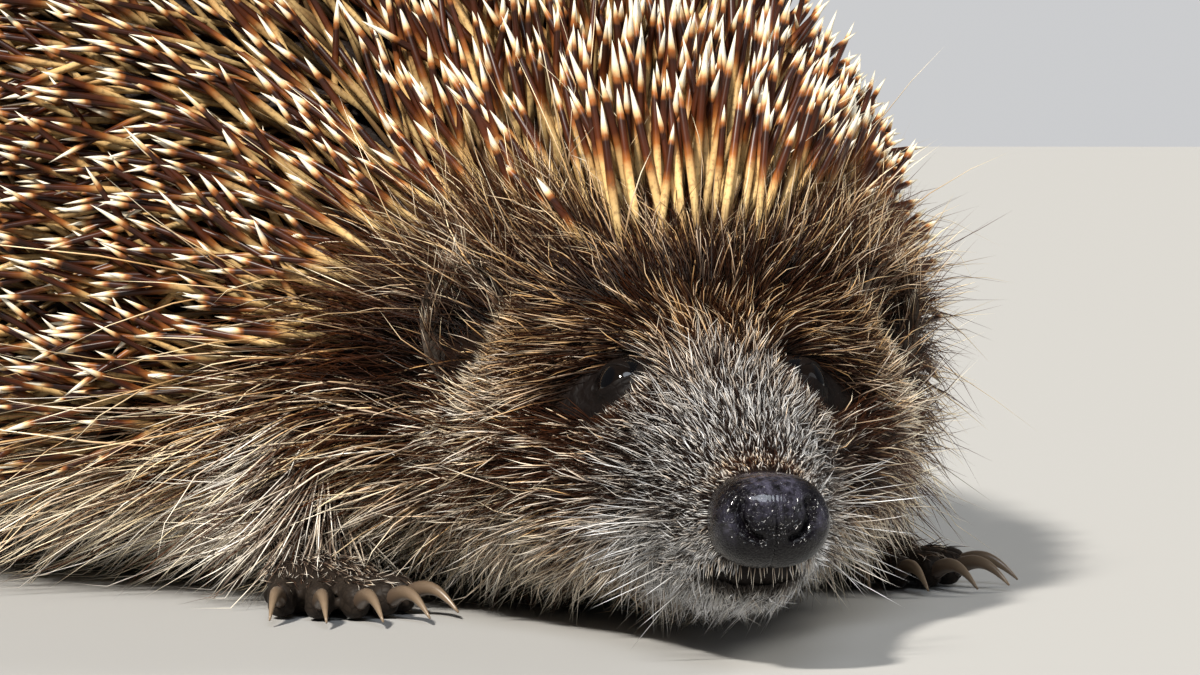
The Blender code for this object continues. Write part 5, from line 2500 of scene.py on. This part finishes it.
@dataclass
class Studio:
    """Floor, soft light and camera."""

    azimuth: float = math.radians(-43)  # the camera's direction from the nose, from -Y towards +X
    elevation: float = math.radians(5)  # how far it looks down
    distance: float = 0.4  # from the camera to the nose
    across: float = 0.1026  # how wide the picture is at the nose
    aside: float = 0.0147  # how far right of the picture's middle the nose lies
    below: float = 0.0156  # how far under the picture's middle the nose lies
    surround: Triple = (0.97, 0.98, 1.0)  # the colour of the light from all around
    floor: FloorFinish = FloorFinish()

    def build(self) -> None:
        """Sets up the whole studio."""
        self.lay_floor()
        self.set_camera()
        self.set_lights()

    def lay_floor(self) -> None:
        """A wide round floor under the animal."""
        shape = bmesh.new()
        bmesh.ops.create_circle(shape, cap_ends=True, segments=96, radius=6.0)
        mesh = bpy.data.meshes.new("floor")
        shape.to_mesh(mesh)
        shape.free()
        floor = in_scene("floor", mesh)
        mesh.materials.append(self.floor.material())
        floor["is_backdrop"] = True

    def set_camera(self) -> None:
        """A long lens close to the ground, on the animal's face."""
        low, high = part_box("nose")
        nose = (low + high) / 2
        a, e = self.azimuth, self.elevation
        away = Vector((math.sin(a) * math.cos(e), -math.cos(a) * math.cos(e), math.sin(e)))
        right = Vector((math.cos(a), math.sin(a), 0.0))
        up = right.cross(-away)
        aim = nose - right * self.aside + up * self.below
        data = bpy.data.cameras.new("camera")
        data.sensor_width = 36.0
        data.lens = data.sensor_width * self.distance / self.across
        data.clip_start, data.clip_end = 0.01, 30.0
        camera = in_scene("camera", data)
        camera.location = nose + away * self.distance
        camera.rotation_euler = (aim - camera.location).to_track_quat("-Z", "Y").to_euler()
        bpy.context.scene.camera = camera

    def set_lights(self) -> None:
        """A key from the upper left of the camera, with softer light from above, the side and behind."""
        self.lamp("key", (-0.78, -0.3, 0.82), 5, 6.4, (1.0, 0.95, 0.87))
        self.lamp("sky", (-0.42, -0.62, 0.95), 26, 1.4, (0.84, 0.91, 1.0))
        self.lamp("fill", (0.6, -0.9, 0.45), 40, 0.4, (0.93, 0.96, 1.0))
        self.lamp("rim", (0.9, 0.05, 0.6), 20, 2.7, (1.0, 0.98, 0.92))
        bpy.context.scene.view_settings.view_transform = "Standard"
        world = bpy.data.worlds.new("surround")
        world.use_nodes = True
        graph = Graph(world.node_tree)
        background = world.node_tree.nodes["Background"]
        background.inputs["Color"].default_value = (*self.surround, 1.0)
        seen = graph.node("LightPath").outputs["Is Camera Ray"]
        graph.feed(background.inputs["Strength"], graph.math("MULTIPLY_ADD", seen, 0.52, 0.1))
        bpy.context.scene.world = world

    def lamp(self, name: str, place: tuple, spread: float, strength: float, colour: tuple) -> None:
        """Hangs one far lamp.

        Args:
            name: its name.
            place: where it hangs; it shines to the middle.
            spread: how wide it looks, in degrees, and so how soft it is.
            strength: its power.
            colour: its colour.
        """
        data = bpy.data.lights.new(name, "SUN")
        data.angle, data.energy, data.color = math.radians(spread), strength, colour
        lamp = in_scene(name, data)
        lamp.location = place
        lamp.rotation_euler = (-lamp.location).to_track_quat("-Z", "Y").to_euler()
        lamp.visible_glossy = name != "rim"


# -------- the whole


@dataclass
class Hedgehog:
    """The whole animal."""

    form: BodyForm = field(default_factory=BodyForm)
    markings: Markings = field(default_factory=Markings)

    def __post_init__(self) -> None:
        """Prepares its sub-assemblies."""
        self.hide = Hide(self.form, self.markings)
        self.ears = [Ear(self.form, side) for side in Side]
        self.feet = [Foot(self.form, limb, side) for limb in (FORE, HIND) for side in Side]
        self.tail = Tail(self.form)

    def build(self) -> None:
        """Builds every piece in order."""
        foot_shells = {foot.name(): foot.shell() for foot in self.feet}
        self.build_skin(foot_shells)
        Eyes(self.hide.eyes).build()
        Nose(self.form).build()
        self.build_claws()
        coat = Coat(self.hide, self.markings, self.ears)
        coat.grow_spines()
        coat.grow_fur()
        coat.grow_guard_hairs()
        coat.grow_whiskers()
        coat.grow_lip_bristles()
        coat.grow_ear_hairs()
        for foot in self.feet:
            self.cover_leg(coat, foot, foot_shells[foot.name()])
        shell = self.tail.shell()
        comb = np.array(self.tail.direction)
        roots = roots_on_shell(shell, np.ones(len(shell.faces)), comb, 1100)
        coat.grow_on("tail_fur", roots, 0.005, 0.000065)

    def cover_leg(self, coat: Coat, foot: Foot, shell: Shell) -> None:
        """Short fur on a foot, and long fur over the leg like that of the flank beside it.

        Args:
            coat: the coat it belongs to.
            foot: which leg.
            shell: the skin of the leg.
        """
        middle = shell.points[shell.faces].mean(axis=1)
        height = middle[:, 2]
        down = UP * -0.7
        rear = foot.foot_axes()[1][1]
        low = step(height, 0.003, 0.005) * step(height, 0.011, 0.008)
        roots = roots_on_shell(shell, low, down - rear, 1400)
        coat.grow_on(f"foot_fur_{foot.name()}", roots, 0.0022, 0.000048)
        high = step(height, 0.007, 0.0095) * step(self.form.fullness(middle), 0.96, 1.04)
        roots = roots_on_shell(shell, high, down * 0.6 + rear, 900)
        coat.grow_on(f"leg_fur_{foot.name()}", roots, 0.013, 0.00008, pale=0.65)

    def build_skin(self, foot_shells: dict[str, Shell]) -> None:
        """One skin over head, ears, body, legs, feet and tail.

        Args:
            foot_shells: the skin of each leg, by name.
        """
        hide = self.hide.shell()
        along, turn = np.meshgrid(self.hide.rings, self.hide.turns, indexing="ij")
        smooth = Shell.grid(self.hide.surface(along, turn)[0])
        skin = BVHTree.FromPolygons(smooth.points.tolist(), smooth.faces.tolist())
        lids = [Eyelids(eye).shell(skin) for eye in self.hide.eyes]
        ears = [ear.shell() for ear in self.ears]
        shells = [hide, *lids, *ears, *foot_shells.values(), self.tail.shell()]
        mesh = mesh_of_shell("skin", joined(shells))
        flesh = ["head", "muzzle", "lower_jaw", "neck", "belly", "back", "tail"]
        for side in Side:
            name = side.name.lower()
            flesh += [f"ear_{name}"]
            flesh += [f"{end}{part}_{name}" for end in ("fore", "hind") for part in ("leg", "foot")]
        add_piece("skin", mesh, SkinFinish().material(), "fur", flesh)

    def build_claws(self) -> None:
        """The claws of each foot as one piece."""
        for foot in self.feet:
            nodes = [f"claw_{foot.limb.name}_{foot.side.name.lower()}_{i}" for i in range(1, 6)]
            mesh = mesh_of_shell(f"claws_{foot.name()}", joined(foot.claws()))
            add_piece(f"claws_{foot.name()}", mesh, ClawFinish().material(), "claw", nodes)


def main() -> None:
    """Builds the animal and the studio, and works out the sizes of the solids and of the whole."""
    Hedgehog().build()
    Studio().build()
    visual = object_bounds()
    sizes = {"cad": [list(corner) for corner in CAD_BOX], "visual": [list(corner) for corner in visual]}
    log.info("sizes kept")


if __name__ == "__main__":
    main()
